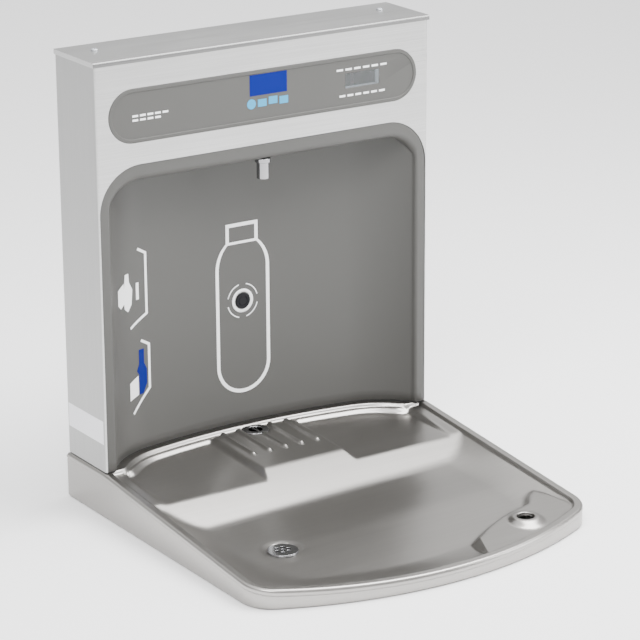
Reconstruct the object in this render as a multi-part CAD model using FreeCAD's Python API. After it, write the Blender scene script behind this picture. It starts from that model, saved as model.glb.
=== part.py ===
import FreeCAD, Part
import math
import os

# Wall-hung bottle filling fountain: a stamped steel basin that carries a shallow sensor-operated
# filling tower. Millimetres. +X is the user's right, the front faces -Y, the wall is behind +Y.
# The origin is the centre of the footprint, on the plane that the basin's skirt stands on.

V = FreeCAD.Vector

# ---------------------------------------------------------------- the basin's sizes
BASIN_WIDTH = 467.0
BASIN_DEPTH = 483.0
BASIN_REAR_HEIGHT = 56.6        # top of the level deck that the tower stands on
BASIN_SHEET = 1.2
RIM_FALL = 0.096                # the rim in front of the tower falls this much for each mm forward
FRONT_BOW_RADIUS = 478.0
FRONT_CORNER_RADIUS = 42.5
SKIRT_RETURN = 14.0             # width of the turned-in foot under the skirt
PIPE_NOTCH_RADIUS = 16.0        # notch in the foot behind the water inlet
RIM_WIDTH = 10.0
RIM_STEP = 4.5                  # drop from the rim to the ledge inside it
SHELF_INSET = 26.0              # from the basin's side to the shelf recess
SHELF_AHEAD = 91.1              # shelf's front edge, ahead of the tower's face
SHELF_FRONT_Z = 42.0
SHELF_FALL = 0.044
RAMP_RUN = 25.0                 # from the shelf's front edge back to the ribbed deck's
DECK_RISE = 8.0                 # ribbed deck above the shelf's front edge
DECK_HALF_WIDTH = 56.0
DECK_SIDE_DRAFT = 9.0           # how much wider the deck is at its foot, each side
BOWL_DEPTH = 16.5               # bowl floor below the rim plane
BOWL_SWEEP = 72.0               # width of the dished side, from the ledge to the flat floor
RIB_COUNT = 5
RIB_PITCH = 22.8
RIB_WIDTH = 7.0
RIB_HEIGHT = 3.5
RIB_SETBACK = 35.0              # from the deck's front edge to the ribs' rounded ends
BUBBLER_SIDE_MARGIN = 88.5      # bubbler hole from the basin's right side
BUBBLER_FRONT_MARGIN = 67.5     # bubbler hole from the basin's front
BUBBLER_HOLE_RADIUS = 11.0
BUBBLER_TOP_RADIUS = 15.5
BUBBLER_FOOT_RADIUS = 22.0
BUBBLER_RISE = 5.0              # top of the boss above its corner pad
DECK_DRAIN_MARGIN = 26.0        # from the niche's back wall to the deck drain
DECK_DRAIN_HOLE_RADIUS = 12.0
DECK_DRAIN_RIM_RADIUS = 17.0
DECK_DRAIN_END_Z = 12.0
BOWL_DRAIN_SIDE_MARGIN = 100.5
BOWL_DRAIN_FRONT_MARGIN = 157.5
BOWL_DRAIN_RADIUS = 18.0
BOWL_DRAIN_SEAT_Z = 15.0
BOWL_DRAIN_END_Z = 1.5
SPIGOT_STEP = 0.7               # the drains' ends are this much slimmer than their threads

# ---------------------------------------------------------------- the tower's sizes
TOWER_SIDE_SETBACK = 3.0
TOWER_BACK_SETBACK = 2.8
TOWER_DEPTH = 89.6
TOWER_TOP_Z = 551.2
TOWER_SHEET = 1.2
TOWER_EDGE_RADIUS = 3.0
GASKET_THICKNESS = 1.0
COVER_OVERHANG = 1.2
COVER_LIP = 6.0
COVER_EDGE_RADIUS = 3.0
PILL_BELOW_TOP = 68.1
PILL_SIDE_MARGIN = 17.0
PILL_RADIUS = 32.1
ARCH_SIDE_MARGIN = 2.5
ARCH_BELOW_TOP = 125.7
ARCH_CORNER_RADIUS = 55.6
NICHE_SIDE_MARGIN = 11.0        # from the arch to the niche, at the sides
NICHE_TOP_MARGIN = 20.5         # from the arch down to the niche's ceiling
NICHE_CORNER_RADIUS = 45.0
NICHE_ARCH_MARGIN = 0.15        # the arched section is this much wider than the niche's plan
NICHE_BACK_ROOM = 26.7          # from the niche's deepest line to the tower's back
NICHE_BACK_RADIUS = 806.0
NICHE_SIDE_RADIUS = 110.0
PLASTIC_WALL = 3.0
BACK_FLANGE = 14.0              # width of the wrapper's flanges along the wall
BACK_PLATE_THICKNESS = 1.5
WALL_HOLE_RADIUS = 4.0
WALL_HOLE_SIDE_MARGIN = 80.5
WALL_HOLE_LOW_Z = 120.0
WALL_HOLE_BELOW_TOP = 51.2
BACK_SCREW_ABOVE_FOOT = 32.4
BACK_SCREW_MID_Z = 300.0
BACK_SCREW_BELOW_TOP = 31.2
COVER_SCREW_RADIUS = 2.0
COVER_SCREW_SIDE_MARGIN = 32.5
COVER_SCREW_BACK_MARGIN = 33.7
PLATE_SCREW_RADIUS = 2.0
BOLT_RADIUS = 3.0
BOLT_ABOVE_PLATE = 8.2
BASE_BOLT_SIDE_MARGIN = 18.5
INNER_BOLT_X = 70.0
BASE_BOLT_BACK_MARGIN = 11.7

# ---------------------------------------------------------------- the fittings' sizes
SENSOR_Z = 214.0
SENSOR_LENS_RADIUS = 6.0
SENSOR_BARREL_RADIUS = 8.5
SENSOR_SEAT_DEPTH = 0.4         # the sensor's flat seat stands this far ahead of the niche's deepest line
NOZZLE_BACKSET = 11.9           # nozzle's axis behind the tower's face
NOZZLE_RADIUS = 7.5
NOZZLE_SHANK_RADIUS = 5.3
NOZZLE_DROP = 25.0              # nozzle's tip below the niche's ceiling
FIT_GAP = 0.3                   # loose assembly clearance between separate pieces
RUNNING_GAP = 0.05              # radial clearance of a sliding fit
THREAD_GAP = 0.02               # radial clearance of a screwed joint
SCREW_GAP = 0.1                 # radial clearance of a screw hole
PRINT_THICKNESS = 0.3
PRINT_GAP = 0.15                # the prints on the curved wall stand this far off it
TUBE_RADIUS = 4.75              # 3/8 inch water tube
TUBE_BORE = 3.2
LEAD_RADIUS = 1.6
VALVE_X = -95.0
VALVE_BACK_MARGIN = 38.7
VALVE_ABOVE_CEILING = 45.0
PLUNGER_RADIUS = 5.5
PLUNGER_LENGTH = 34.0
BUTTON_RADIUS = 1.75
BUTTON_TRAVEL = 1.0
INLET_SIDE_MARGIN = 45.5
INLET_BACK_MARGIN = 17.7
INLET_END_Z = 8.0
INLET_NIPPLE_RADIUS = 6.5
INLET_NIPPLE_LENGTH = 14.0
CEILING_SCREW_RADIUS = 1.8
BRACKET_FOOT_BACKSET = 26.9     # valve bracket's screws behind the tower's face
SUPPLY_BESIDE_DISPLAY = 75.0    # from the display back to the power supply's left end
SUPPLY_LENGTH = 70.0
DISPLAY_SIDE_MARGIN = 78.5
DISPLAY_ABOVE_PILL = 1.9
DISPLAY_WIDTH = 49.0
DISPLAY_HEIGHT = 18.0
BEZEL_PROUD = 0.8
FIELD_STEP = 1.0                # the pill's field lies this far behind its rim
PILL_RIM = 4.5
PRINT_FROM_PILL_END = 31.5      # from the pill's left end to the printed dashes
BOARD_BACKSET = 8.9
BOARD_THICKNESS = 1.6
BOARD_SCREW_RADIUS = 1.25
BUTTON_BESIDE_DISPLAY = 50.0
BUTTON_ABOVE_PILL = 4.9
SWITCH_DEPTH = 4.0

# ---------------------------------------------------------------- worked-out places
HALF_X = BASIN_WIDTH / 2
HALF_Y = BASIN_DEPTH / 2
TOWER_HALF_X = HALF_X - TOWER_SIDE_SETBACK
TOWER_BACK_Y = HALF_Y - TOWER_BACK_SETBACK
TOWER_FRONT_Y = TOWER_BACK_Y - TOWER_DEPTH
SHELF_FRONT_Y = TOWER_FRONT_Y - SHELF_AHEAD
DECK_FRONT_Y = SHELF_FRONT_Y + RAMP_RUN
RIB_FRONT_Y = DECK_FRONT_Y + RIB_SETBACK
DECK_FRONT_Z = SHELF_FRONT_Z + DECK_RISE
RAMP_FALL = DECK_RISE / RAMP_RUN
NICHE_DEPTH_Y = TOWER_BACK_Y - NICHE_BACK_ROOM
DECK_DRAIN_Y = NICHE_DEPTH_Y - DECK_DRAIN_MARGIN
BUBBLER_X = HALF_X - BUBBLER_SIDE_MARGIN
BUBBLER_Y = BUBBLER_FRONT_MARGIN - HALF_Y
BOWL_DRAIN_X = BOWL_DRAIN_SIDE_MARGIN - HALF_X
BOWL_DRAIN_Y = BOWL_DRAIN_FRONT_MARGIN - HALF_Y
TOWER_FOOT_Z = BASIN_REAR_HEIGHT + GASKET_THICKNESS
COVER_SHEET_UNDERSIDE = TOWER_TOP_Z - TOWER_SHEET
PILL_CENTRE_Z = TOWER_TOP_Z - PILL_BELOW_TOP
PILL_HALF_LENGTH = TOWER_HALF_X - PILL_SIDE_MARGIN
ARCH_HALF_WIDTH = TOWER_HALF_X - ARCH_SIDE_MARGIN
ARCH_TOP_Z = TOWER_TOP_Z - ARCH_BELOW_TOP
NICHE_HALF_WIDTH = ARCH_HALF_WIDTH - NICHE_SIDE_MARGIN
NICHE_TOP_Z = ARCH_TOP_Z - NICHE_TOP_MARGIN
NICHE_MOUTH_Y = TOWER_FRONT_Y + 0.5
INNER_X = TOWER_HALF_X - TOWER_SHEET
INNER_FRONT_Y = TOWER_FRONT_Y + TOWER_SHEET
BACK_PLATE_Y = TOWER_BACK_Y - TOWER_SHEET - BACK_PLATE_THICKNESS
BASE_PLATE_TOP = TOWER_FOOT_Z + TOWER_SHEET
CEILING_TOP = NICHE_TOP_Z + PLASTIC_WALL
BEZEL_BACK_Y = INNER_FRONT_Y + 2.0
FIELD_Y = TOWER_FRONT_Y - BEZEL_PROUD + FIELD_STEP
BASE_BOLT_Y = TOWER_BACK_Y - BASE_BOLT_BACK_MARGIN
BASE_BOLTS = [(side * x, BASE_BOLT_Y) for x in (TOWER_HALF_X - BASE_BOLT_SIDE_MARGIN, INNER_BOLT_X) for side in (-1, 1)]
WALL_HOLE_X = TOWER_HALF_X - WALL_HOLE_SIDE_MARGIN
WALL_HOLE_HIGH_Z = TOWER_TOP_Z - WALL_HOLE_BELOW_TOP
BACK_SCREW_LOW_Z = TOWER_FOOT_Z + BACK_SCREW_ABOVE_FOOT
BACK_SCREW_HIGH_Z = TOWER_TOP_Z - BACK_SCREW_BELOW_TOP
COVER_SCREW_X = TOWER_HALF_X - COVER_SCREW_SIDE_MARGIN
COVER_SCREW_Y = TOWER_BACK_Y - COVER_SCREW_BACK_MARGIN
SENSOR_SEAT_Y = NICHE_DEPTH_Y - SENSOR_SEAT_DEPTH
NOZZLE_Y = TOWER_FRONT_Y + NOZZLE_BACKSET
NOZZLE_TIP_Z = NICHE_TOP_Z - NOZZLE_DROP
BRACKET_FOOT_Y = TOWER_FRONT_Y + BRACKET_FOOT_BACKSET
SUPPLY_Y = TOWER_FRONT_Y + 31.9
VALVE_Y = TOWER_BACK_Y - VALVE_BACK_MARGIN
VALVE_Z = NICHE_TOP_Z + VALVE_ABOVE_CEILING
PLUNGER_LOW = VALVE_Z - 1.0
BONNET_TOP = VALVE_Z + 50.0
COIL_TERMINAL_Z = VALVE_Z + 29.0
INLET_X = INLET_SIDE_MARGIN - TOWER_HALF_X
INLET_Y = TOWER_BACK_Y - INLET_BACK_MARGIN
DISPLAY_X = PILL_HALF_LENGTH - DISPLAY_SIDE_MARGIN
DISPLAY_Z = PILL_CENTRE_Z + DISPLAY_ABOVE_PILL
BUTTON_X = DISPLAY_X - BUTTON_BESIDE_DISPLAY
BUTTON_Z = PILL_CENTRE_Z + BUTTON_ABOVE_PILL
SUPPLY_X0 = DISPLAY_X - SUPPLY_BESIDE_DISPLAY
SUPPLY_X1 = SUPPLY_X0 + SUPPLY_LENGTH
BOARD_Y = TOWER_FRONT_Y + BOARD_BACKSET
# Plug-in sockets on the back of the board: valve lead, sensor lead, supply lead (x, lowest z).
SOCKET_SIZE = 8.0
LEAD_SOCKETS = [(DISPLAY_X - 69.0, PILL_CENTRE_Z - 8.1), (DISPLAY_X - 19.0, PILL_CENTRE_Z + 14.9),
                (DISPLAY_X - 39.0, PILL_CENTRE_Z - 17.1)]
FAR = 400.0


# ---------------------------------------------------------------- small geometry helpers
def save(node, *solids):
    """Write one node; several separate solids go in as a group."""
    found = []
    for shape in solids:
        found.extend(shape.Solids)
    whole = found[0] if len(found) == 1 else Part.makeCompound(found)
    whole.exportStep("parts/" + node + ".step")
    print(node, len(found), "solids", round(sum(s.Volume for s in found), 1), all(s.isValid() for s in found))


def block(x0, x1, y0, y1, z0, z1):
    return Part.makeBox(x1 - x0, y1 - y0, z1 - z0, V(x0, y0, z0))


def rod(radius, x, y, z0, z1):
    return Part.makeCylinder(radius, z1 - z0, V(x, y, z0))


def rod_y(radius, x, z, y0, y1):
    return Part.makeCylinder(radius, y1 - y0, V(x, y0, z), V(0, 1, 0))


def rod_x(radius, y, z, x0, x1):
    return Part.makeCylinder(radius, x1 - x0, V(x0, y, z), V(1, 0, 0))


def fused(shapes):
    whole = shapes[0]
    for shape in shapes[1:]:
        whole = whole.fuse(shape)
    return whole.removeSplitter()


def wire_of(points):
    """A closed wire; a point marked 'arc' is the middle of an arc between its neighbours."""
    edges = []
    count = len(points)
    i = 0
    while i < count:
        here = points[i]
        after = points[(i + 1) % count]
        if after[0] == "arc":
            last = points[(i + 2) % count]
            edges.append(Part.Arc(here[1], after[1], last[1]).toShape())
            i += 2
        else:
            edges.append(Part.LineSegment(here[1], after[1]).toShape())
            i += 1
    return Part.Wire(edges)


def prism(points, run):
    return Part.Face(wire_of(points)).extrude(run)


def below(z_at, y_at, rise):
    """Everything under the plane through (y_at, z_at) that rises by `rise` for each mm of +Y."""
    slab = block(-FAR, FAR, -2 * FAR, 2 * FAR, -FAR, 0)
    slab.rotate(V(0, 0, 0), V(1, 0, 0), math.degrees(math.atan(rise)))
    slab.translate(V(0, y_at, z_at))
    return slab


def under_rim(drop):
    """Everything lower than `drop` below the basin's level rear deck and falling rim."""
    level = block(-FAR, FAR, -FAR, FAR, -50, BASIN_REAR_HEIGHT - drop)
    return level.common(below(BASIN_REAR_HEIGHT - drop, TOWER_FRONT_Y, RIM_FALL))


def rim_z(y):
    return BASIN_REAR_HEIGHT - RIM_FALL * max(0.0, TOWER_FRONT_Y - y)


def routed(points, radius, bend, bore=0.0):
    """A tube along straight runs joined by tangent arcs."""
    edges = []
    start = points[0]
    for before, corner, after in zip(points, points[1:], points[2:]):
        inward = (corner - before).normalize()
        outward = (after - corner).normalize()
        turn = inward.getAngle(outward)
        reach = bend * math.tan(turn / 2)
        first = corner - inward * reach
        last = corner + outward * reach
        to_middle = (outward - inward).normalize()
        middle = corner + to_middle * (bend / math.cos(turn / 2) - bend)
        edges.append(Part.LineSegment(start, first).toShape())
        edges.append(Part.Arc(first, middle, last).toShape())
        start = last
    edges.append(Part.LineSegment(start, points[-1]).toShape())
    path = Part.Wire(edges)
    heading = points[1] - points[0]

    def sweep(r):
        section = Part.Wire([Part.Circle(points[0], heading, r).toShape()])
        return path.makePipeShell([section], True, True)

    whole = sweep(radius)
    return whole.cut(sweep(bore)) if bore else whole


def hex_prism(across_flats, x, y, z0, z1):
    corner = across_flats / math.sqrt(3)
    around = [V(x + corner * math.cos(k * math.pi / 3), y + corner * math.sin(k * math.pi / 3), z0) for k in range(6)]
    return prism([("line", p) for p in around], V(0, 0, z1 - z0))


# ---------------------------------------------------------------- basin outline and surfaces
def outline(inset, z, rear_y=None):
    """The basin's plan outline, moved inward by `inset`; the rear edge can be put at `rear_y`."""
    back = HALF_Y - inset if rear_y is None else rear_y
    bow_y = -HALF_Y + FRONT_BOW_RADIUS
    corner_x = HALF_X - FRONT_CORNER_RADIUS
    across = FRONT_BOW_RADIUS - FRONT_CORNER_RADIUS
    corner_y = bow_y - math.sqrt(across ** 2 - corner_x ** 2)
    side_x = HALF_X - inset
    r_bow = FRONT_BOW_RADIUS - inset
    r_corner = FRONT_CORNER_RADIUS - inset
    aim = math.atan2(bow_y - corner_y, corner_x)
    if r_corner < 1.0:
        # A deep inset leaves no corner arc: the side meets the bow directly.
        meet_y = bow_y - math.sqrt(r_bow ** 2 - side_x ** 2)
        return wire_of([("line", V(-side_x, back, z)), ("line", V(-side_x, meet_y, z)),
                        ("arc", V(0, bow_y - r_bow, z)), ("line", V(side_x, meet_y, z)),
                        ("line", V(side_x, back, z))])
    tip = V(corner_x + r_corner * math.cos(aim), corner_y - r_corner * math.sin(aim), z)
    mid = V(corner_x + r_corner * math.cos(aim / 2), corner_y - r_corner * math.sin(aim / 2), z)
    return wire_of([("line", V(-side_x, back, z)), ("line", V(-side_x, corner_y, z)),
                    ("arc", V(-mid.x, mid.y, z)), ("line", V(-tip.x, tip.y, z)),
                    ("arc", V(0, bow_y - r_bow, z)), ("line", tip),
                    ("arc", mid), ("line", V(side_x, corner_y, z)), ("line", V(side_x, back, z))])


def outline_prism(inset, z0, z1, rear_y=None):
    return Part.Face(outline(inset, z0, rear_y)).extrude(V(0, 0, z1 - z0))


def niche_circles():
    """Centres of the niche's back arc and of its right side arc, which is tangent to it."""
    back = V(0, NICHE_DEPTH_Y - NICHE_BACK_RADIUS, 0)
    mouth = V(NICHE_HALF_WIDTH, NICHE_MOUTH_Y, 0)
    span = (mouth - back).Length
    r_far = NICHE_BACK_RADIUS - NICHE_SIDE_RADIUS
    along = (r_far ** 2 - NICHE_SIDE_RADIUS ** 2 + span ** 2) / (2 * span)
    aside = math.sqrt(r_far ** 2 - along ** 2)
    toward = (mouth - back) / span
    side = back + toward * along + V(-toward.y, toward.x, 0) * aside
    return back, side


def niche_plan(off, z, front_y):
    """The niche's plan, grown by `off`, open to the front as far as `front_y`."""
    back, side = niche_circles()
    r_back = NICHE_BACK_RADIUS + off
    r_side = NICHE_SIDE_RADIUS + off
    joint = (side - back).normalize()
    tangent = back + joint * r_back
    mouth_half = side.x + math.sqrt(max(0.0, r_side ** 2 - (NICHE_MOUTH_Y - side.y) ** 2))
    from_angle = math.atan2(NICHE_MOUTH_Y - side.y, mouth_half - side.x)
    to_angle = math.atan2(joint.y, joint.x)
    half_way = (from_angle + to_angle) / 2
    middle = side + V(math.cos(half_way), math.sin(half_way), 0) * r_side

    def at(p, sign=1):
        return V(sign * p.x, p.y, z)

    return wire_of([("line", V(mouth_half, front_y, z)), ("line", V(mouth_half, NICHE_MOUTH_Y, z)),
                    ("arc", at(middle)), ("line", at(tangent)),
                    ("arc", V(0, back.y + r_back, z)), ("line", at(tangent, -1)),
                    ("arc", at(middle, -1)), ("line", V(-mouth_half, NICHE_MOUTH_Y, z)),
                    ("line", V(-mouth_half, front_y, z))])


def niche_prism(off, z0, z1, front_y=TOWER_FRONT_Y - 60):
    return Part.Face(niche_plan(off, z0, front_y)).extrude(V(0, 0, z1 - z0))


def arch_prism(half, top, radius, y0, y1, foot=TOWER_FOOT_Z):
    """A straight-sided arch with rounded top corners, seen from the front, between y0 and y1."""
    bend = radius * (1 - math.sqrt(0.5))
    return prism([("line", V(-half, y0, foot)), ("line", V(-half, y0, top - radius)),
                  ("arc", V(-half + bend, y0, top - bend)), ("line", V(-half + radius, y0, top)),
                  ("line", V(half - radius, y0, top)), ("arc", V(half - bend, y0, top - bend)),
                  ("line", V(half, y0, top - radius)), ("line", V(half, y0, foot))], V(0, y1 - y0, 0))


def pill_prism(grow, y0, y1):
    """The rounded slot that frames the display, grown by `grow`, between y0 and y1."""
    r = PILL_RADIUS + grow
    flat = PILL_HALF_LENGTH - PILL_RADIUS
    return prism([("line", V(-flat, y0, PILL_CENTRE_Z + r)), ("line", V(flat, y0, PILL_CENTRE_Z + r)),
                  ("arc", V(flat + r, y0, PILL_CENTRE_Z)), ("line", V(flat, y0, PILL_CENTRE_Z - r)),
                  ("line", V(-flat, y0, PILL_CENTRE_Z - r)), ("arc", V(-flat - r, y0, PILL_CENTRE_Z))],
                 V(0, y1 - y0, 0))


# ---------------------------------------------------------------- the basin
def shelf_plane(off):
    return below(SHELF_FRONT_Z - off, SHELF_FRONT_Y, SHELF_FALL)


def deck_mass(off):
    """The ribbed deck: drafted sides, a gently falling top and five round-ended ribs."""
    top = 70.0
    rise = top - SHELF_FRONT_Z
    spread = DECK_SIDE_DRAFT * rise / DECK_RISE
    foot = DECK_HALF_WIDTH + DECK_SIDE_DRAFT - off
    profile = [V(-foot, 0, SHELF_FRONT_Z), V(foot, 0, SHELF_FRONT_Z),
               V(foot - spread, 0, top), V(-foot + spread, 0, top)]
    drafted = prism([("line", p) for p in profile], V(0, HALF_Y, 0))
    root = block(-foot, foot, 0, HALF_Y, -20, SHELF_FRONT_Z)
    shapes = [drafted.fuse(root).common(below(DECK_FRONT_Z - off, DECK_FRONT_Y, SHELF_FALL))]
    for k in range(RIB_COUNT):
        x = (k - (RIB_COUNT - 1) / 2) * RIB_PITCH
        half = RIB_WIDTH / 2 - off / 2
        rib = block(x - half, x + half, RIB_FRONT_Y, HALF_Y, SHELF_FRONT_Z, top)
        rib = rib.fuse(rod(half, x, RIB_FRONT_Y, SHELF_FRONT_Z, top))
        shapes.append(rib.common(below(DECK_FRONT_Z + RIB_HEIGHT - off, DECK_FRONT_Y, SHELF_FALL)))
    return fused(shapes)


def dish_mass(off):
    """Everything under the dished bowl, whose floor lies parallel to the falling rim."""
    tilt = math.degrees(math.atan(RIM_FALL))
    rear = TOWER_FRONT_Y + 20
    sections = []
    for inset, depth in ((RIM_WIDTH, -30.0), (RIM_WIDTH, RIM_STEP), (RIM_WIDTH + 0.33 * BOWL_SWEEP, 0.68 * BOWL_DEPTH),
                         (RIM_WIDTH + BOWL_SWEEP, BOWL_DEPTH)):
        sections.append((inset - off, depth + (off if depth > 0 else 0)))
    tools = []
    for (inset_a, depth_a), (inset_b, depth_b) in zip(sections, sections[1:]):
        upper = sharp_outline(inset_a, -depth_a, rear)
        lower = sharp_outline(inset_b, -depth_b, rear)
        tools.append(Part.makeLoft([upper, lower], True, True))
    hollow = fused(tools)
    hollow.rotate(V(0, 0, 0), V(1, 0, 0), tilt)
    hollow.translate(V(0, TOWER_FRONT_Y * (1 - math.cos(math.radians(tilt))), rim_z(0) - 0.0))
    return block(-FAR, FAR, -FAR, FAR, -50, 100).cut(hollow)


def sharp_outline(inset, z, rear_y):
    """The bowl's outline with a fixed count of edges, so that sections of any inset can be lofted."""
    bow_y = -HALF_Y + FRONT_BOW_RADIUS
    side_x = HALF_X - inset
    r_bow = FRONT_BOW_RADIUS - inset
    radius = max(FRONT_CORNER_RADIUS - inset, 24.0) + inset * 0.35
    corner_x = side_x - radius
    corner_y = bow_y - math.sqrt((r_bow - radius) ** 2 - corner_x ** 2)
    aim = math.atan2(bow_y - corner_y, corner_x)
    tip = V(corner_x + radius * math.cos(aim), corner_y - radius * math.sin(aim), z)
    mid = V(corner_x + radius * math.cos(aim / 2), corner_y - radius * math.sin(aim / 2), z)
    return wire_of([("line", V(-side_x, rear_y, z)), ("line", V(-side_x, corner_y, z)),
                    ("arc", V(-mid.x, mid.y, z)), ("line", V(-tip.x, tip.y, z)),
                    ("arc", V(0, bow_y - r_bow, z)), ("line", tip),
                    ("arc", mid), ("line", V(side_x, corner_y, z)), ("line", V(side_x, rear_y, z))])


def corner_pad_mass(off):
    """The raised pad in the right front corner, laid out from the bubbler's hole."""
    outer_x = HALF_X + 20 - BUBBLER_X
    corners = [(off - 89, -86), (off - 79, -16 - off), (off - 26, 16 - off), (36, 36 - off), (61, 60 - off),
               (outer_x, 60 - off), (outer_x, -86)]
    pad = prism([("line", V(BUBBLER_X + dx, BUBBLER_Y + dy, -20)) for dx, dy in corners], V(0, 0, 100))
    return pad.common(under_rim(RIM_STEP + off))


def boss_mass(off):
    """The drafted boss with the bubbler's seat."""
    seat_z = rim_z(BUBBLER_Y) - RIM_STEP
    cone_low = seat_z - 6.0
    slope = (BUBBLER_FOOT_RADIUS - BUBBLER_TOP_RADIUS) / BUBBLER_RISE
    return Part.makeCone(BUBBLER_FOOT_RADIUS + 6.0 * slope - off, BUBBLER_TOP_RADIUS - off,
                         BUBBLER_RISE + 6.0, V(BUBBLER_X, BUBBLER_Y, cone_low - off))


def basin_top(off):
    """The solid under the basin's upper surface, after that surface is moved inward by `off`."""
    filled = outline_prism(off, -30 if off else 0, 90).common(under_rim(off))
    front_recess = outline_prism(RIM_WIDTH - off, -30, 100, TOWER_FRONT_Y + 4)
    rear_recess = niche_prism(-RIM_WIDTH + off, -30, 100, 0.0)
    recess = front_recess.fuse(rear_recess)
    shelf_well = block(-HALF_X + SHELF_INSET - off, HALF_X - SHELF_INSET + off, -FAR, TOWER_FRONT_Y + 4, -30, 100)
    shelf_well = shelf_well.fuse(niche_prism(-RIM_WIDTH - 6 + off, -30, 100, 0.0))
    ramp = below(SHELF_FRONT_Z - off, SHELF_FRONT_Y, RAMP_FALL)
    ledge = under_rim(RIM_STEP + off).cut(shelf_well)
    rear_mass = shelf_plane(off).fuse(deck_mass(off)).fuse(ledge).common(ramp)
    side_ledge = ledge.common(block(-FAR, FAR, SHELF_FRONT_Y, FAR, -30, 100))
    ledge_dish = dish_mass(off).common(under_rim(RIM_STEP + off)).common(block(-FAR, FAR, -FAR, TOWER_FRONT_Y, -40, 100))
    mass = rear_mass.fuse(side_ledge).fuse(ledge_dish).fuse(corner_pad_mass(off))
    body = filled.cut(recess).fuse(filled.common(recess).common(mass)).fuse(boss_mass(off))
    body = body.cut(rod(BOWL_DRAIN_RADIUS + 1.0 + off, BOWL_DRAIN_X, BOWL_DRAIN_Y, BOWL_DRAIN_SEAT_Z - off, 60))
    seat = rod(DECK_DRAIN_RIM_RADIUS + 1.0 + off, 0, DECK_DRAIN_Y, deck_drain_seat() - off, 90)
    return body.cut(seat)


def deck_drain_seat():
    """Height of the level seat that is pressed into the deck for its drain."""
    return DECK_FRONT_Z + SHELF_FALL * (DECK_DRAIN_Y - DECK_FRONT_Y) - 1.0


def make_basin():
    outer = basin_top(0.0)
    under = basin_top(BASIN_SHEET).common(block(-FAR, FAR, -FAR, FAR, BASIN_SHEET, 100))
    foot_opening = outline_prism(SKIRT_RETURN, -5, BASIN_SHEET + 1)
    shell = outer.cut(under).cut(foot_opening.common(block(-FAR, FAR, -FAR, FAR, -5, BASIN_SHEET)))
    holes = [rod(BUBBLER_HOLE_RADIUS, BUBBLER_X, BUBBLER_Y, -20, 80),
             rod(BOWL_DRAIN_RADIUS - 4.0, BOWL_DRAIN_X, BOWL_DRAIN_Y, -20, 80),
             rod(DECK_DRAIN_HOLE_RADIUS, 0, DECK_DRAIN_Y, -20, 90)]
    holes += [rod(BOLT_RADIUS + FIT_GAP, x, y, 40, 80) for x, y in BASE_BOLTS]
    holes.append(rod(TUBE_RADIUS + 1.5, INLET_X, INLET_Y, 40, 80))
    holes.append(rod(PIPE_NOTCH_RADIUS, INLET_X, INLET_Y, -5, BASIN_SHEET))
    for hole in holes:
        shell = shell.cut(hole)
    save("basin", shell)



# ---------------------------------------------------------------- fasteners
def screw(head_radius, head_height, shank_radius, shank_length):
    """A pan-head screw with a cross recess; its head stands on z = 0 and its shank points down."""
    head = Part.makeCylinder(head_radius, head_height)
    rounded_head = head.makeFillet(head_height * 0.45, [head.Edges[0]]) if head.Edges else head
    slot = block(-head_radius * 0.55, head_radius * 0.55, -0.45, 0.45, head_height * 0.5, head_height + 1)
    cross = slot.fuse(block(-0.45, 0.45, -head_radius * 0.55, head_radius * 0.55, head_height * 0.5, head_height + 1))
    shank = Part.makeCylinder(shank_radius, shank_length, V(0, 0, -shank_length))
    return rounded_head.cut(cross).fuse(shank).removeSplitter()


def placed(shape, at, heading=V(0, 0, 1)):
    """A copy whose local +Z points along `heading` and whose origin is at `at`."""
    copy = shape.copy()
    copy.Placement = FreeCAD.Placement(at, FreeCAD.Rotation(V(0, 0, 1), heading))
    return copy


def rounded(shape, radius, wanted):
    """Fillet the edges whose centre of mass `wanted` accepts."""
    edges = [edge for edge in shape.Edges if wanted(edge)]
    return shape.makeFillet(radius, edges)


def is_upright(edge):
    ends = [vertex.Point for vertex in edge.Vertexes]
    return len(ends) == 2 and abs(ends[0].z - ends[1].z) > 1 and (ends[0] - ends[1]).Length - abs(ends[0].z - ends[1].z) < 0.01


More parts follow.
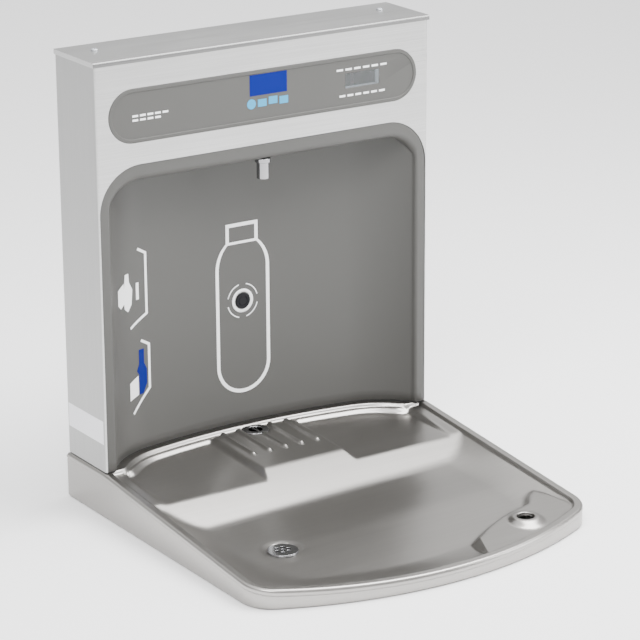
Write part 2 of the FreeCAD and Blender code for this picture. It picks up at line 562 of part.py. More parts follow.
# ---------------------------------------------------------------- tower sheet metal
def make_wrapper():
    outer = block(-TOWER_HALF_X, TOWER_HALF_X, TOWER_FRONT_Y, TOWER_BACK_Y, TOWER_FOOT_Z, COVER_SHEET_UNDERSIDE)
    outer = rounded(outer, TOWER_EDGE_RADIUS, lambda e: is_upright(e) and e.CenterOfMass.y < TOWER_FRONT_Y + 1)
    inner = block(-INNER_X, INNER_X, INNER_FRONT_Y, TOWER_BACK_Y - TOWER_SHEET, TOWER_FOOT_Z - 1, TOWER_TOP_Z + 1)
    inner = rounded(inner, TOWER_EDGE_RADIUS - TOWER_SHEET,
                    lambda e: is_upright(e) and e.CenterOfMass.y < INNER_FRONT_Y + 1)
    open_back = block(BACK_FLANGE - INNER_X, INNER_X - BACK_FLANGE, TOWER_BACK_Y - 5, TOWER_BACK_Y + 1,
                      TOWER_FOOT_Z - 1, TOWER_TOP_Z + 1)
    shell = outer.cut(inner).cut(open_back)
    shell = shell.cut(arch_prism(ARCH_HALF_WIDTH, ARCH_TOP_Z, ARCH_CORNER_RADIUS, TOWER_FRONT_Y - 5,
                                 INNER_FRONT_Y + 3, TOWER_FOOT_Z - 5))
    shell = shell.cut(pill_prism(0.0, TOWER_FRONT_Y - 5, INNER_FRONT_Y + 3))
    for side in (-1, 1):
        reach = INNER_X - COVER_SCREW_X + 10
        tab = block(0, reach, COVER_SCREW_Y - 14, COVER_SCREW_Y + 14, COVER_SHEET_UNDERSIDE - TOWER_SHEET,
                    COVER_SHEET_UNDERSIDE)
        tab.translate(V(INNER_X - reach if side > 0 else -INNER_X, 0, 0))
        shell = shell.fuse(tab)
        shell = shell.cut(rod(COVER_SCREW_RADIUS + SCREW_GAP, side * COVER_SCREW_X, COVER_SCREW_Y, TOWER_TOP_Z - 50,
                            TOWER_TOP_Z + 50))
    for x, z in back_screw_places():
        shell = shell.cut(rod_y(PLATE_SCREW_RADIUS + SCREW_GAP, x, z, BACK_PLATE_Y - 5, TOWER_BACK_Y + 5))
    save("tower_wrapper", shell.removeSplitter())


def back_screw_places():
    x = INNER_X - BACK_FLANGE / 2
    return [(side * x, z) for side in (-1, 1) for z in (BACK_SCREW_LOW_Z, BACK_SCREW_MID_Z, BACK_SCREW_HIGH_Z)]


def make_cover():
    reach = COVER_OVERHANG + FIT_GAP
    y0 = TOWER_FRONT_Y - reach
    y1 = TOWER_BACK_Y + reach
    outer = block(-TOWER_HALF_X - reach, TOWER_HALF_X + reach, y0, y1, TOWER_TOP_Z - COVER_LIP, TOWER_TOP_Z)
    outer = rounded(outer, COVER_EDGE_RADIUS, lambda e: e.CenterOfMass.z > TOWER_TOP_Z - 0.1 and e.CenterOfMass.y < y0 + 0.1)
    gap = FIT_GAP
    inner = block(-TOWER_HALF_X - gap, TOWER_HALF_X + gap, TOWER_FRONT_Y - gap, TOWER_BACK_Y + gap,
                  TOWER_TOP_Z - COVER_LIP - 1, COVER_SHEET_UNDERSIDE)
    cover = outer.cut(inner)
    screws = []
    for side in (-1, 1):
        cover = cover.cut(rod(COVER_SCREW_RADIUS + SCREW_GAP, side * COVER_SCREW_X, COVER_SCREW_Y, TOWER_TOP_Z - 50,
                            TOWER_TOP_Z + 50))
        screws.append(placed(screw(4.0, 2.2, COVER_SCREW_RADIUS, 10.0),
                             V(side * COVER_SCREW_X, COVER_SCREW_Y, TOWER_TOP_Z)))
    save("top_cover", cover)
    save("cover_screws", *screws)


def make_back_plate():
    plate = block(-INNER_X + 0.5, INNER_X - 0.5, BACK_PLATE_Y, BACK_PLATE_Y + BACK_PLATE_THICKNESS,
                  BASE_PLATE_TOP, COVER_SHEET_UNDERSIDE - TOWER_SHEET - 1)
    for side in (-1, 1):
        for z in (WALL_HOLE_LOW_Z, WALL_HOLE_HIGH_Z):
            plate = plate.cut(rod_y(WALL_HOLE_RADIUS, side * WALL_HOLE_X, z, BACK_PLATE_Y - 5, BACK_PLATE_Y + 5))
    screws = []
    for x, z in back_screw_places():
        plate = plate.cut(rod_y(PLATE_SCREW_RADIUS + SCREW_GAP, x, z, BACK_PLATE_Y - 5, TOWER_BACK_Y + 5))
        screws.append(placed(screw(3.6, 2.0, PLATE_SCREW_RADIUS, 6.0), V(x, TOWER_BACK_Y, z), V(0, 1, 0)))
    save("back_plate", plate)
    save("back_plate_screws", *screws)


def make_tower_foot():
    """The foam gasket on the basin, the tower's bottom plate and the bolts that hold them down."""
    gasket = block(-TOWER_HALF_X + 1, TOWER_HALF_X - 1, TOWER_FRONT_Y + 1, TOWER_BACK_Y - 1,
                   BASIN_REAR_HEIGHT, TOWER_FOOT_Z)
    low = TOWER_FOOT_Z - 20
    high = TOWER_FOOT_Z + 20
    gasket = gasket.cut(niche_prism(FIT_GAP, low, high))
    width = 9.0
    hollow = block(-TOWER_HALF_X + width, TOWER_HALF_X - width, TOWER_FRONT_Y + 25, TOWER_BACK_Y - width,
                   low, high)
    gasket = gasket.cut(hollow.cut(niche_prism(width, low - 1, high + 1)))
    plate = block(-INNER_X + 0.5, INNER_X - 0.5, TOWER_FRONT_Y + 30, BACK_PLATE_Y, TOWER_FOOT_Z, BASE_PLATE_TOP)
    plate = plate.cut(niche_prism(PLASTIC_WALL + FIT_GAP, low, high))
    bolts = []
    nuts = []
    head_top = BASIN_REAR_HEIGHT - BASIN_SHEET
    for x, y in BASE_BOLTS:
        hole = rod(BOLT_RADIUS + FIT_GAP, x, y, low, high)
        plate = plate.cut(hole)
        gasket = gasket.cut(hole)
        shank = rod(BOLT_RADIUS, x, y, head_top, BASE_PLATE_TOP + BOLT_ABOVE_PLATE)
        bolts.append(hex_prism(10.0, x, y, head_top - 4.0, head_top).fuse(shank))
        nut = hex_prism(10.0, x, y, BASE_PLATE_TOP, BASE_PLATE_TOP + 5.0)
        nuts.append(nut.cut(rod(BOLT_RADIUS + THREAD_GAP, x, y, low, high)))
    plate = plate.cut(rod(TUBE_RADIUS + 1.5, INLET_X, INLET_Y, low, high))
    save("tower_gasket", gasket)
    save("tower_base_plate", plate)
    save("tower_bolts", *bolts)
    save("tower_bolt_nuts", *nuts)


# ---------------------------------------------------------------- niche and its printed signs
def niche_room(off):
    """The empty room of the niche, grown by `off`."""
    plan = niche_prism(off, TOWER_FOOT_Z - (5 if off <= 0 else 0), NICHE_TOP_Z + off, INNER_FRONT_Y - 10)
    front = arch_prism(NICHE_HALF_WIDTH + NICHE_ARCH_MARGIN + off, NICHE_TOP_Z + off, NICHE_CORNER_RADIUS + off,
                       INNER_FRONT_Y - 12, BACK_PLATE_Y, TOWER_FOOT_Z - 10)
    return plan.common(front)


def make_alcove():
    behind = block(-FAR, FAR, INNER_FRONT_Y, FAR, TOWER_FOOT_Z, TOWER_TOP_Z + 50)
    shell = niche_room(PLASTIC_WALL).common(behind)
    flange = arch_prism(ARCH_HALF_WIDTH - FIT_GAP, ARCH_TOP_Z - FIT_GAP, ARCH_CORNER_RADIUS - FIT_GAP,
                        NICHE_MOUTH_Y, BEZEL_BACK_Y)
    lip = arch_prism(ARCH_HALF_WIDTH - 1.0, ARCH_TOP_Z + 8, ARCH_CORNER_RADIUS + 8, INNER_FRONT_Y, BEZEL_BACK_Y)
    shell = shell.fuse([flange, lip]).cut(niche_room(0.0))
    seat = rod_y(14.0, 0, SENSOR_Z, NICHE_DEPTH_Y - 0.9, NICHE_DEPTH_Y + 1)
    shell = shell.fuse(seat).cut(rod_y(12.8, 0, SENSOR_Z, NICHE_DEPTH_Y - 5, SENSOR_SEAT_Y))
    shell = shell.cut(rod_y(SENSOR_BARREL_RADIUS + FIT_GAP, 0, SENSOR_Z, NICHE_DEPTH_Y - 20, NICHE_DEPTH_Y + 20))
    shell = shell.cut(rod(NOZZLE_SHANK_RADIUS + FIT_GAP, 0, NOZZLE_Y, NICHE_TOP_Z - 5, CEILING_TOP + 5))
    for x, y in ceiling_screw_places():
        shell = shell.cut(rod(CEILING_SCREW_RADIUS + SCREW_GAP, x, y, NICHE_TOP_Z - 2, CEILING_TOP + 2))
    save("alcove_shell", shell.removeSplitter())


def ceiling_screw_places():
    valve = [(VALVE_X - 13, BRACKET_FOOT_Y), (VALVE_X + 13, BRACKET_FOOT_Y)]
    supply = [(SUPPLY_X0 - 6, SUPPLY_Y), (SUPPLY_X1 + 6, SUPPLY_Y)]
    return valve + supply


def wall_skin():
    """A print-thin layer on the niche's wall."""
    return niche_room(-PRINT_GAP).cut(niche_room(-PRINT_GAP - PRINT_THICKNESS))


def bottle_shape(grow, y0, y1):
    """A flask with a round bottom, sloping shoulders and a square cap, seen from the front."""
    r = 36.0 + grow
    foot = 134.0
    shoulder = 256.0
    neck = 20.5 + grow
    neck_low = 289.0
    cap = 311.0 + grow
    return prism([("line", V(-neck, y0, cap)), ("line", V(neck, y0, cap)), ("line", V(neck, y0, neck_low)),
                  ("arc", V((neck + r) / 2 + 2.5, y0, (neck_low + shoulder) / 2 + 4)), ("line", V(r, y0, shoulder)),
                  ("line", V(r, y0, foot)), ("arc", V(0, y0, foot - r)), ("line", V(-r, y0, foot)),
                  ("line", V(-r, y0, shoulder)), ("arc", V(-(neck + r) / 2 - 2.5, y0, (neck_low + shoulder) / 2 + 4)),
                  ("line", V(-neck, y0, neck_low))], V(0, y1 - y0, 0))


def make_signs():
    skin = wall_skin()
    y0 = NICHE_DEPTH_Y - 12
    y1 = NICHE_DEPTH_Y + 2
    stroke = 4.5
    ring = bottle_shape(stroke / 2, y0, y1).cut(bottle_shape(-stroke / 2, y0, y1))
    band = block(-20.5, 20.5, y0, y1, 287.0, 287.0 + stroke * 0.7)
    save("bottle_outline", ring.fuse(band).common(skin))

    # Two small signs on the left wall, laid out in a flat frame (across, up) that faces the user.
    back, side = niche_circles()
    turn = math.radians(112.0)
    base = V(-side.x + NICHE_SIDE_RADIUS * math.cos(turn), side.y + NICHE_SIDE_RADIUS * math.sin(turn), 0)
    across = V(math.sin(turn), -math.cos(turn), 0)
    inward = V(math.cos(turn), math.sin(turn), 0)

    def plate(points):
        start = base - inward * 16
        corners = [("line", start + across * a + V(0, 0, up)) for a, up in points]
        return prism(corners, inward * 32)

    def bar(a0, up0, a1, up1, width):
        along = V(a1 - a0, up1 - up0, 0).normalize()
        n = V(-along.y, along.x, 0) * (width / 2)
        return plate([(a0 + n.x, up0 + n.y), (a1 + n.x, up1 + n.y), (a1 - n.x, up1 - n.y), (a0 - n.x, up0 - n.y)])

    left = block(-FAR, -60, 100, 260, 60, 400)
    empty_bottle = plate([(-13, 283), (-6, 283), (-5, 272), (1, 262), (-1, 244), (-8, 236), (-15, 241), (-17, 256)])
    hand = plate([(-31, 268), (-16, 273), (-16, 248), (-24, 244), (-31, 250)])
    def bracket(a, top, low, fall):
        post = bar(a, top, a, low, 3.2)
        return fused([post, bar(a, top - 1, a - 12, top + 6, 3.2), bar(a, low + 1, a - 28, low - fall, 3.2)])

    upper = [empty_bottle.fuse(hand), bracket(24, 303, 226, 12), bar(10, 268, 10, 247, 4.5)]
    low_hand = plate([(-8, 146), (8, 152), (8, 128), (-8, 124)])
    lower = [low_hand, bracket(26, 189, 132, 26)]
    blue = [plate([(10, 184), (18, 184), (18, 166), (22, 158), (22, 140), (16, 128), (9.5, 128), (9.5, 153),
                   (6, 158), (10, 166)]).cut(low_hand)]
    save("sign_prints_white", *[shape.common(skin).common(left) for shape in upper + lower])
    save("sign_print_blue", *[shape.common(skin).common(left) for shape in blue])


# ---------------------------------------------------------------- display pill
def board_post_places():
    return [(DISPLAY_X + dx, DISPLAY_Z + dz) for dx in (-66, 44) for dz in (-24, 21)]


def make_pill():
    front = TOWER_FRONT_Y - BEZEL_PROUD
    body = pill_prism(-FIT_GAP, front, BEZEL_BACK_Y).fuse(pill_prism(5.0, INNER_FRONT_Y, BEZEL_BACK_Y))
    body = body.cut(pill_prism(-PILL_RIM, front - 2, FIELD_Y))
    opening = block(DISPLAY_X - DISPLAY_WIDTH / 2, DISPLAY_X + DISPLAY_WIDTH / 2, front - 5, BEZEL_BACK_Y + 5,
                    DISPLAY_Z - DISPLAY_HEIGHT / 2, DISPLAY_Z + DISPLAY_HEIGHT / 2)
    body = body.cut(opening)
    for x, z in board_post_places():
        post = rod_y(3.0, x, z, BEZEL_BACK_Y, BOARD_Y)
        body = body.fuse(post).cut(rod_y(BOARD_SCREW_RADIUS + 0.05, x, z, BEZEL_BACK_Y - 0.5, BOARD_Y + 1))
    save("pill_bezel", body.removeSplitter())

    half_w = DISPLAY_WIDTH / 2 - 0.15
    half_h = DISPLAY_HEIGHT / 2 - 0.15
    save("display_window", block(DISPLAY_X - half_w, DISPLAY_X + half_w, FIELD_Y, FIELD_Y + 1.5,
                                 DISPLAY_Z - half_h, DISPLAY_Z + half_h))
    save("display_lcd", block(DISPLAY_X - half_w, DISPLAY_X + half_w, FIELD_Y + 1.5, BOARD_Y,
                              DISPLAY_Z - half_h, DISPLAY_Z + half_h))
    save("pill_badge", block(-24.0, 27.5, FIELD_Y - PRINT_THICKNESS, FIELD_Y,
                             PILL_CENTRE_Z + 1.4, PILL_CENTRE_Z + 26.4))
    drop = rod_y(6.0, -22.0, PILL_CENTRE_Z - 8.1, FIELD_Y - PRINT_THICKNESS, FIELD_Y)
    strokes = [block(-13.0 + 15 * k, -1.0 + 15 * k, FIELD_Y - PRINT_THICKNESS, FIELD_Y,
                     PILL_CENTRE_Z - 12.6 + 1.5 * (k % 2), PILL_CENTRE_Z - 3.6 + 1.5 * (k % 2)) for k in range(3)]
    save("pill_mark", drop, *strokes)
    dashes = []
    left = PRINT_FROM_PILL_END - PILL_HALF_LENGTH
    rows = [(DISPLAY_X - 37.0, 6, 12.6, 9.0, 14.8), (DISPLAY_X - 33.0, 6, 11.4, 8.2, -17.1),
            (left, 5, 10.0, 7.4, -1.6), (left, 4, 10.0, 7.4, -6.6)]
    for start, count, step, size, above in rows:
        z = PILL_CENTRE_Z + above
        for k in range(count):
            dashes.append(block(start + k * step, start + k * step + size, FIELD_Y - PRINT_THICKNESS, FIELD_Y,
                                z, z + 2.4))
    save("pill_dashes", *dashes)


def make_electronics():
    back = BOARD_Y + BOARD_THICKNESS
    board = block(DISPLAY_X - 72, DISPLAY_X + 50, BOARD_Y, back, DISPLAY_Z - 30, DISPLAY_Z + 27)
    screws = []
    for x, z in board_post_places():
        board = board.cut(rod_y(BOARD_SCREW_RADIUS + 0.05, x, z, BOARD_Y - 1, back + 1))
        screws.append(placed(screw(2.5, 1.6, BOARD_SCREW_RADIUS, 5.0), V(x, back, z), V(0, 1, 0)))
    for x, z in LEAD_SOCKETS:
        board = board.fuse(block(x, x + SOCKET_SIZE, back, back + 7, z, z + SOCKET_SIZE))
    save("control_board", board.removeSplitter())
    save("board_screws", *screws)
    switch = block(BUTTON_X - 3.5, BUTTON_X + 3.5, back, back + SWITCH_DEPTH, BUTTON_Z - 3.5, BUTTON_Z + 3.5)
    switch = switch.cut(rod_y(BUTTON_RADIUS + RUNNING_GAP, BUTTON_X, BUTTON_Z, back + 0.4, back + SWITCH_DEPTH + 1))
    save("program_switch", switch)
    save("program_button", rod_y(BUTTON_RADIUS, BUTTON_X, BUTTON_Z, back + 0.7 + BUTTON_TRAVEL,
                                 back + SWITCH_DEPTH + 2.2))

    supply = block(SUPPLY_X0, SUPPLY_X1, SUPPLY_Y - 16, SUPPLY_Y + 16, CEILING_TOP, CEILING_TOP + 28)
    supply = supply.fuse(block(SUPPLY_X0 - 12, SUPPLY_X1 + 12, SUPPLY_Y - 9, SUPPLY_Y + 9, CEILING_TOP,
                               CEILING_TOP + 2))
    supply_screws = []
    bracket_screws = []
    for x, y in ceiling_screw_places():
        if x > 0:
            supply = supply.cut(rod(CEILING_SCREW_RADIUS + SCREW_GAP, x, y, CEILING_TOP - 1, CEILING_TOP + 3))
            supply_screws.append(placed(screw(3.2, 1.8, CEILING_SCREW_RADIUS, 4.8), V(x, y, CEILING_TOP + 2)))
        else:
            bracket_screws.append(placed(screw(3.2, 1.8, CEILING_SCREW_RADIUS, 4.3), V(x, y, CEILING_TOP + 1.5)))
    save("power_supply", supply)
    save("power_supply_screws", *supply_screws)
    save("valve_bracket_screws", *bracket_screws)


def make_leads():
    lead_y = BOARD_Y + BOARD_THICKNESS + 3.5
    sensor_top = SENSOR_Z + SENSOR_BARREL_RADIUS
    half = SOCKET_SIZE / 2
    valve_socket, sensor_socket, supply_socket = LEAD_SOCKETS
    rear_y = NICHE_DEPTH_Y + 13
    high_z = PILL_CENTRE_Z + 41.9
    sensor_x = sensor_socket[0] + half
    save("sensor_lead", routed([V(0, rear_y, sensor_top), V(0, rear_y, high_z), V(sensor_x, rear_y, high_z),
                                V(sensor_x, lead_y, high_z), V(sensor_x, lead_y, sensor_socket[1] + SOCKET_SIZE)],
                               LEAD_RADIUS, 8.0))
    valve_z = valve_socket[1] + half
    save("valve_lead", routed([V(VALVE_X + 25, VALVE_Y, valve_z), V(-30, VALVE_Y, valve_z),
                               V(-30, lead_y, valve_z), V(valve_socket[0], lead_y, valve_z)], LEAD_RADIUS, 12.0))
    supply_x = supply_socket[0] + half
    supply_top = CEILING_TOP + 28
    turn_z = supply_top + 14
    save("power_lead", routed([V(supply_x, SUPPLY_Y + 7, supply_top), V(supply_x, SUPPLY_Y + 7, turn_z),
                               V(supply_x, lead_y, turn_z), V(supply_x, lead_y, supply_socket[1])],
                              LEAD_RADIUS, 6.5))


# ---------------------------------------------------------------- sensor and nozzle
def make_sensor():
    face = SENSOR_SEAT_Y
    lens = rod_y(SENSOR_LENS_RADIUS, 0, SENSOR_Z, face - 1.4, face + 4)
    bezel = rod_y(SENSOR_BARREL_RADIUS + 1.2, 0, SENSOR_Z, face - 1.6, face)
    bezel = bezel.fuse(rod_y(SENSOR_BARREL_RADIUS, 0, SENSOR_Z, face, face + 8))
    bezel = bezel.cut(rod_y(SENSOR_LENS_RADIUS + RUNNING_GAP, 0, SENSOR_Z, face - 5, face + 9))
    housing = rod_y(SENSOR_BARREL_RADIUS, 0, SENSOR_Z, face + 8, BACK_PLATE_Y - 3)
    housing = housing.fuse(rod_y(SENSOR_LENS_RADIUS - 0.1, 0, SENSOR_Z, face + 4, face + 8))
    nut = rod_y(14.0, 0, SENSOR_Z, NICHE_DEPTH_Y + PLASTIC_WALL, NICHE_DEPTH_Y + PLASTIC_WALL + 4)
    nut = nut.cut(rod_y(SENSOR_BARREL_RADIUS + THREAD_GAP, 0, SENSOR_Z, face, face + 20))
    save("sensor_lens", lens)
    save("sensor_bezel", bezel)
    save("sensor_housing", housing)
    save("sensor_nut", nut)


def make_nozzle():
    top = CEILING_TOP + 16
    body = rod(NOZZLE_RADIUS, 0, NOZZLE_Y, NOZZLE_TIP_Z, NICHE_TOP_Z - 5).fuse(
        rod(NOZZLE_RADIUS + 2, 0, NOZZLE_Y, NICHE_TOP_Z - 5, NICHE_TOP_Z))
    body = body.fuse(rod(NOZZLE_SHANK_RADIUS, 0, NOZZLE_Y, NICHE_TOP_Z, top))
    body = body.cut(rod(TUBE_BORE, 0, NOZZLE_Y, NOZZLE_TIP_Z - 1, top + 1))
    body = body.cut(rod(NOZZLE_RADIUS - 1.5, 0, NOZZLE_Y, NOZZLE_TIP_Z - 1, NOZZLE_TIP_Z + 4))
    save("nozzle", body.removeSplitter())
    nut_half = 8.0
    lock = hex_prism(nut_half * 1.6, 0, NOZZLE_Y, CEILING_TOP, CEILING_TOP + 5)
    save("nozzle_nut", lock.cut(rod(NOZZLE_SHANK_RADIUS + THREAD_GAP, 0, NOZZLE_Y, CEILING_TOP - 1, CEILING_TOP + 6)))
    coupling = rod(NOZZLE_SHANK_RADIUS + 2.6, 0, NOZZLE_Y, CEILING_TOP + 7, top + 5)
    coupling = coupling.cut(rod(NOZZLE_SHANK_RADIUS + THREAD_GAP, 0, NOZZLE_Y, CEILING_TOP + 6, top))
    coupling = coupling.cut(rod(TUBE_RADIUS + THREAD_GAP, 0, NOZZLE_Y, top, top + 6))
    save("nozzle_coupling", coupling)
    outlet = routed([V(VALVE_X + 37, VALVE_Y, VALVE_Z), V(0, VALVE_Y, VALVE_Z), V(0, NOZZLE_Y, VALVE_Z),
                     V(0, NOZZLE_Y, top)], TUBE_RADIUS, 16.0, TUBE_BORE)
    save("outlet_tube", outlet)


# ---------------------------------------------------------------- water inlet and solenoid valve
def make_valve():
    x, y, z = VALVE_X, VALVE_Y, VALVE_Z
    body_top = z + 10
    chamber_floor = z - 3
    body = block(x - 25, x + 25, y - 14, y + 14, z - 12, body_top)
    body = body.fuse(rod_x(9.0, y, z, x - 37, x - 25)).fuse(rod_x(9.0, y, z, x + 25, x + 37))
    body = body.cut(rod(PLUNGER_RADIUS + 2.1, x, y, chamber_floor, body_top + 1))
    body = body.cut(rod_x(TUBE_BORE, y, z, x - 38, x - 4))
    body = body.cut(rod_x(TUBE_BORE, y, z, x + 4, x + 38))
    body = body.fuse(rod(4.5, x, y, chamber_floor, PLUNGER_LOW - FIT_GAP))
    body = body.cut(rod(2.5, x, y, chamber_floor - 1, z))
    save("valve_body", body.removeSplitter())

    bonnet = rod(13.0, x, y, body_top, body_top + 3).fuse(rod(7.4, x, y, body_top + 3, BONNET_TOP))
    bonnet = bonnet.fuse(rod(2.5, x, y, BONNET_TOP, BONNET_TOP + 8))
    bonnet = bonnet.cut(rod(PLUNGER_RADIUS + RUNNING_GAP, x, y, body_top - 1, BONNET_TOP - 2))
    save("valve_bonnet", bonnet.removeSplitter())

    coil = rod(17.0, x, y, body_top + 3, BONNET_TOP).cut(rod(7.5, x, y, body_top, BONNET_TOP + 1))
    coil = coil.fuse(block(x + 15, x + 25, y - 6, y + 6, COIL_TERMINAL_Z - 9, COIL_TERMINAL_Z + 9).cut(
        rod(16.0, x, y, body_top, BONNET_TOP)))
    save("valve_coil", coil.removeSplitter())
    nut = rod(11.0, x, y, BONNET_TOP, BONNET_TOP + 1.5).fuse(hex_prism(8.0, x, y, BONNET_TOP + 1.5, BONNET_TOP + 5.5))
    save("coil_nut", nut.cut(rod(2.52, x, y, BONNET_TOP - 1, BONNET_TOP + 9)))

    plunger_top = PLUNGER_LOW + PLUNGER_LENGTH
    plunger = rod(PLUNGER_RADIUS, x, y, PLUNGER_LOW, plunger_top)
    save("valve_plunger", plunger)
    wire = 0.5
    coils = 5
    spring_low = plunger_top + wire
    spring_room = BONNET_TOP - 2 - plunger_top - 2 * wire
    helix = Part.makeHelix(spring_room / coils, spring_room, 3.6)
    ring = Part.Wire([Part.Circle(V(3.6, 0, 0), V(0, 1, 0), wire).toShape()])
    spring = Part.Wire(helix.Edges).makePipeShell([ring], True, True)
    spring.translate(V(x, y, spring_low))
    save("valve_spring", spring)

    shelf_z = z - 12
    bracket = block(x - 20, x + 20, y - 14, y + 14, shelf_z - 1.5, shelf_z)
    bracket = bracket.fuse(block(x - 20, x + 20, y - 14, y - 12.5, CEILING_TOP, shelf_z))
    foot = block(x - 20, x + 20, BRACKET_FOOT_Y - 8, y - 12.5, CEILING_TOP, CEILING_TOP + 1.5)
    for sx, sy in ceiling_screw_places():
        foot = foot.cut(rod(CEILING_SCREW_RADIUS + SCREW_GAP, sx, sy, CEILING_TOP - 1, CEILING_TOP + 3))
    save("valve_bracket", bracket.fuse(foot).removeSplitter())

    nut_low = INLET_END_Z + INLET_NIPPLE_LENGTH
    tube_end = nut_low + 3.0
    inlet = routed([V(INLET_X, INLET_Y, tube_end), V(INLET_X, INLET_Y, VALVE_Z - 25), V(INLET_X, y, VALVE_Z),
                    V(x - 37, y, VALVE_Z)], TUBE_RADIUS, 18.0, TUBE_BORE)
    save("inlet_tube", inlet)
    coupling = hex_prism(16.0, INLET_X, INLET_Y, nut_low, nut_low + 14)
    coupling = coupling.fuse(rod(INLET_NIPPLE_RADIUS, INLET_X, INLET_Y, INLET_END_Z, nut_low))
    coupling = coupling.cut(rod(TUBE_RADIUS + THREAD_GAP, INLET_X, INLET_Y, tube_end, 60))
    save("inlet_coupling", coupling.cut(rod(TUBE_BORE, INLET_X, INLET_Y, 0, 60)).removeSplitter())
    grommet = rod(TUBE_RADIUS + 1.45, INLET_X, INLET_Y, 55.4, BASE_PLATE_TOP)
    grommet = grommet.fuse(rod(TUBE_RADIUS + 4, INLET_X, INLET_Y, BASE_PLATE_TOP, BASE_PLATE_TOP + 1.5))
    save("tube_grommet", grommet.cut(rod(TUBE_RADIUS + THREAD_GAP, INLET_X, INLET_Y, 40, 80)))


# ---------------------------------------------------------------- drains
def make_drains():
    seat = deck_drain_seat()
    hole = DECK_DRAIN_HOLE_RADIUS
    body = rod(DECK_DRAIN_RIM_RADIUS, 0, DECK_DRAIN_Y, seat, seat + 1.3)
    thread = hole - FIT_GAP
    under = seat - BASIN_SHEET
    nut_low = under - 8
    body = body.fuse(rod(thread, 0, DECK_DRAIN_Y, nut_low, seat))
    body = body.fuse(rod(thread - SPIGOT_STEP, 0, DECK_DRAIN_Y, DECK_DRAIN_END_Z, nut_low))
    body = body.cut(rod(hole - 2.5, 0, DECK_DRAIN_Y, DECK_DRAIN_END_Z - 1, seat - 2))
    body = body.cut(rod(hole - 1.8, 0, DECK_DRAIN_Y, seat - 2, seat + 3))
    save("deck_drain_body", body.removeSplitter())
    grate = rod(hole - 1.85, 0, DECK_DRAIN_Y, seat - 2, seat + 1).cut(rod(hole - 3.0, 0, DECK_DRAIN_Y, 0, 90))
    bar = block(-1.5, 1.5, DECK_DRAIN_Y - hole + 2, DECK_DRAIN_Y + hole - 2, seat - 2, seat + 1)
    save("deck_drain_grate", grate.fuse(bar.common(rod(hole - 2.5, 0, DECK_DRAIN_Y, 0, 90))).removeSplitter())
    washer = rod(DECK_DRAIN_RIM_RADIUS, 0, DECK_DRAIN_Y, under - 2, under)
    save("deck_drain_washer", washer.cut(rod(hole, 0, DECK_DRAIN_Y, 0, 90)))
    nut = hex_prism(2 * hole + 8, 0, DECK_DRAIN_Y, nut_low, under - 2)
    save("deck_drain_nut", nut.cut(rod(thread + THREAD_GAP, 0, DECK_DRAIN_Y, 0, 90)))

    x, y, low = BOWL_DRAIN_X, BOWL_DRAIN_Y, BOWL_DRAIN_SEAT_Z
    pipe = BOWL_DRAIN_RADIUS - 4.0 - FIT_GAP
    under = low - BASIN_SHEET
    nut_low = under - 6.5
    body = rod(BOWL_DRAIN_RADIUS, x, y, low, low + 1.0).fuse(rod(pipe, x, y, nut_low, low))
    body = body.fuse(rod(pipe - SPIGOT_STEP, x, y, BOWL_DRAIN_END_Z, nut_low))
    body = body.cut(rod(pipe - 2.2, x, y, BOWL_DRAIN_END_Z - 1, low + 3))
    save("bowl_drain_body", body.removeSplitter())
    strainer = rod(BOWL_DRAIN_RADIUS, x, y, low + 1.0, low + 2.2)
    for k in range(7):
        turn = 2 * math.pi * k / 6
        reach = 0.0 if k == 6 else 7.6
        strainer = strainer.cut(rod(2.6, x + reach * math.cos(turn), y + reach * math.sin(turn), 0, 40))
    save("bowl_drain_strainer", strainer)
    washer = rod(pipe + 6, x, y, under - 2, under)
    save("bowl_drain_washer", washer.cut(rod(pipe + FIT_GAP, x, y, 0, 90)))
    nut = hex_prism(2 * pipe + 12, x, y, nut_low, under - 2)
    save("bowl_drain_nut", nut.cut(rod(pipe + THREAD_GAP, x, y, 0, 90)))


def make_label():
    save("side_label", block(-TOWER_HALF_X - PRINT_THICKNESS, -TOWER_HALF_X, TOWER_FRONT_Y + 3.5, TOWER_BACK_Y - 2,
                             92.0, 121.0))


if __name__ == "__main__":
    os.makedirs("parts", exist_ok=True)
    make_basin()
    make_tower_foot()
    make_wrapper()
    make_cover()
    make_back_plate()
    make_alcove()
    make_signs()
    make_pill()
    make_electronics()
    make_leads()
    make_sensor()
    make_nozzle()
    make_valve()
    make_drains()
    make_label()
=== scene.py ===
"""Drinking fountain with a bottle filler: the finished surfaces and the studio that shows them."""
import math

import bmesh
import bpy
import numpy as np
from mathutils import Matrix, Vector


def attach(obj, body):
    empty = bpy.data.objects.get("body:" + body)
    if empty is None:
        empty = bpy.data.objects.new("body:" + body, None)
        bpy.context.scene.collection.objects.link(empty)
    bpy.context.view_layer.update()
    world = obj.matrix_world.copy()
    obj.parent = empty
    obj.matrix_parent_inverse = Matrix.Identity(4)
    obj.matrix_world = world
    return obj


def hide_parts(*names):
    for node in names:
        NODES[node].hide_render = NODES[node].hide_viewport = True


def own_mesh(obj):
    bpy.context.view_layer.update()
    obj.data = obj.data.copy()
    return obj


bl_info = {
    "name": "Bottle Filling Fountain",
    "version": (1, 0, 0),
    "blender": (4, 5, 0),
    "location": "3D View > Sidebar > Fountain",
    "description": "Builds a stamped basin, a sheet steel tower and a bottle alcove, with their finishes",
    "category": "Add Mesh",
}

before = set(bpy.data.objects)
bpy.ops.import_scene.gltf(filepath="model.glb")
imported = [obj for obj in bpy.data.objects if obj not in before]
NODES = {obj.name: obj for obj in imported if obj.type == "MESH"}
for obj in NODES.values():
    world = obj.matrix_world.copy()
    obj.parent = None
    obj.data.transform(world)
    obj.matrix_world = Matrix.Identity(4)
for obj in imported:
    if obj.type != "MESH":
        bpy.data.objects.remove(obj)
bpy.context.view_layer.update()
MM = 0.001

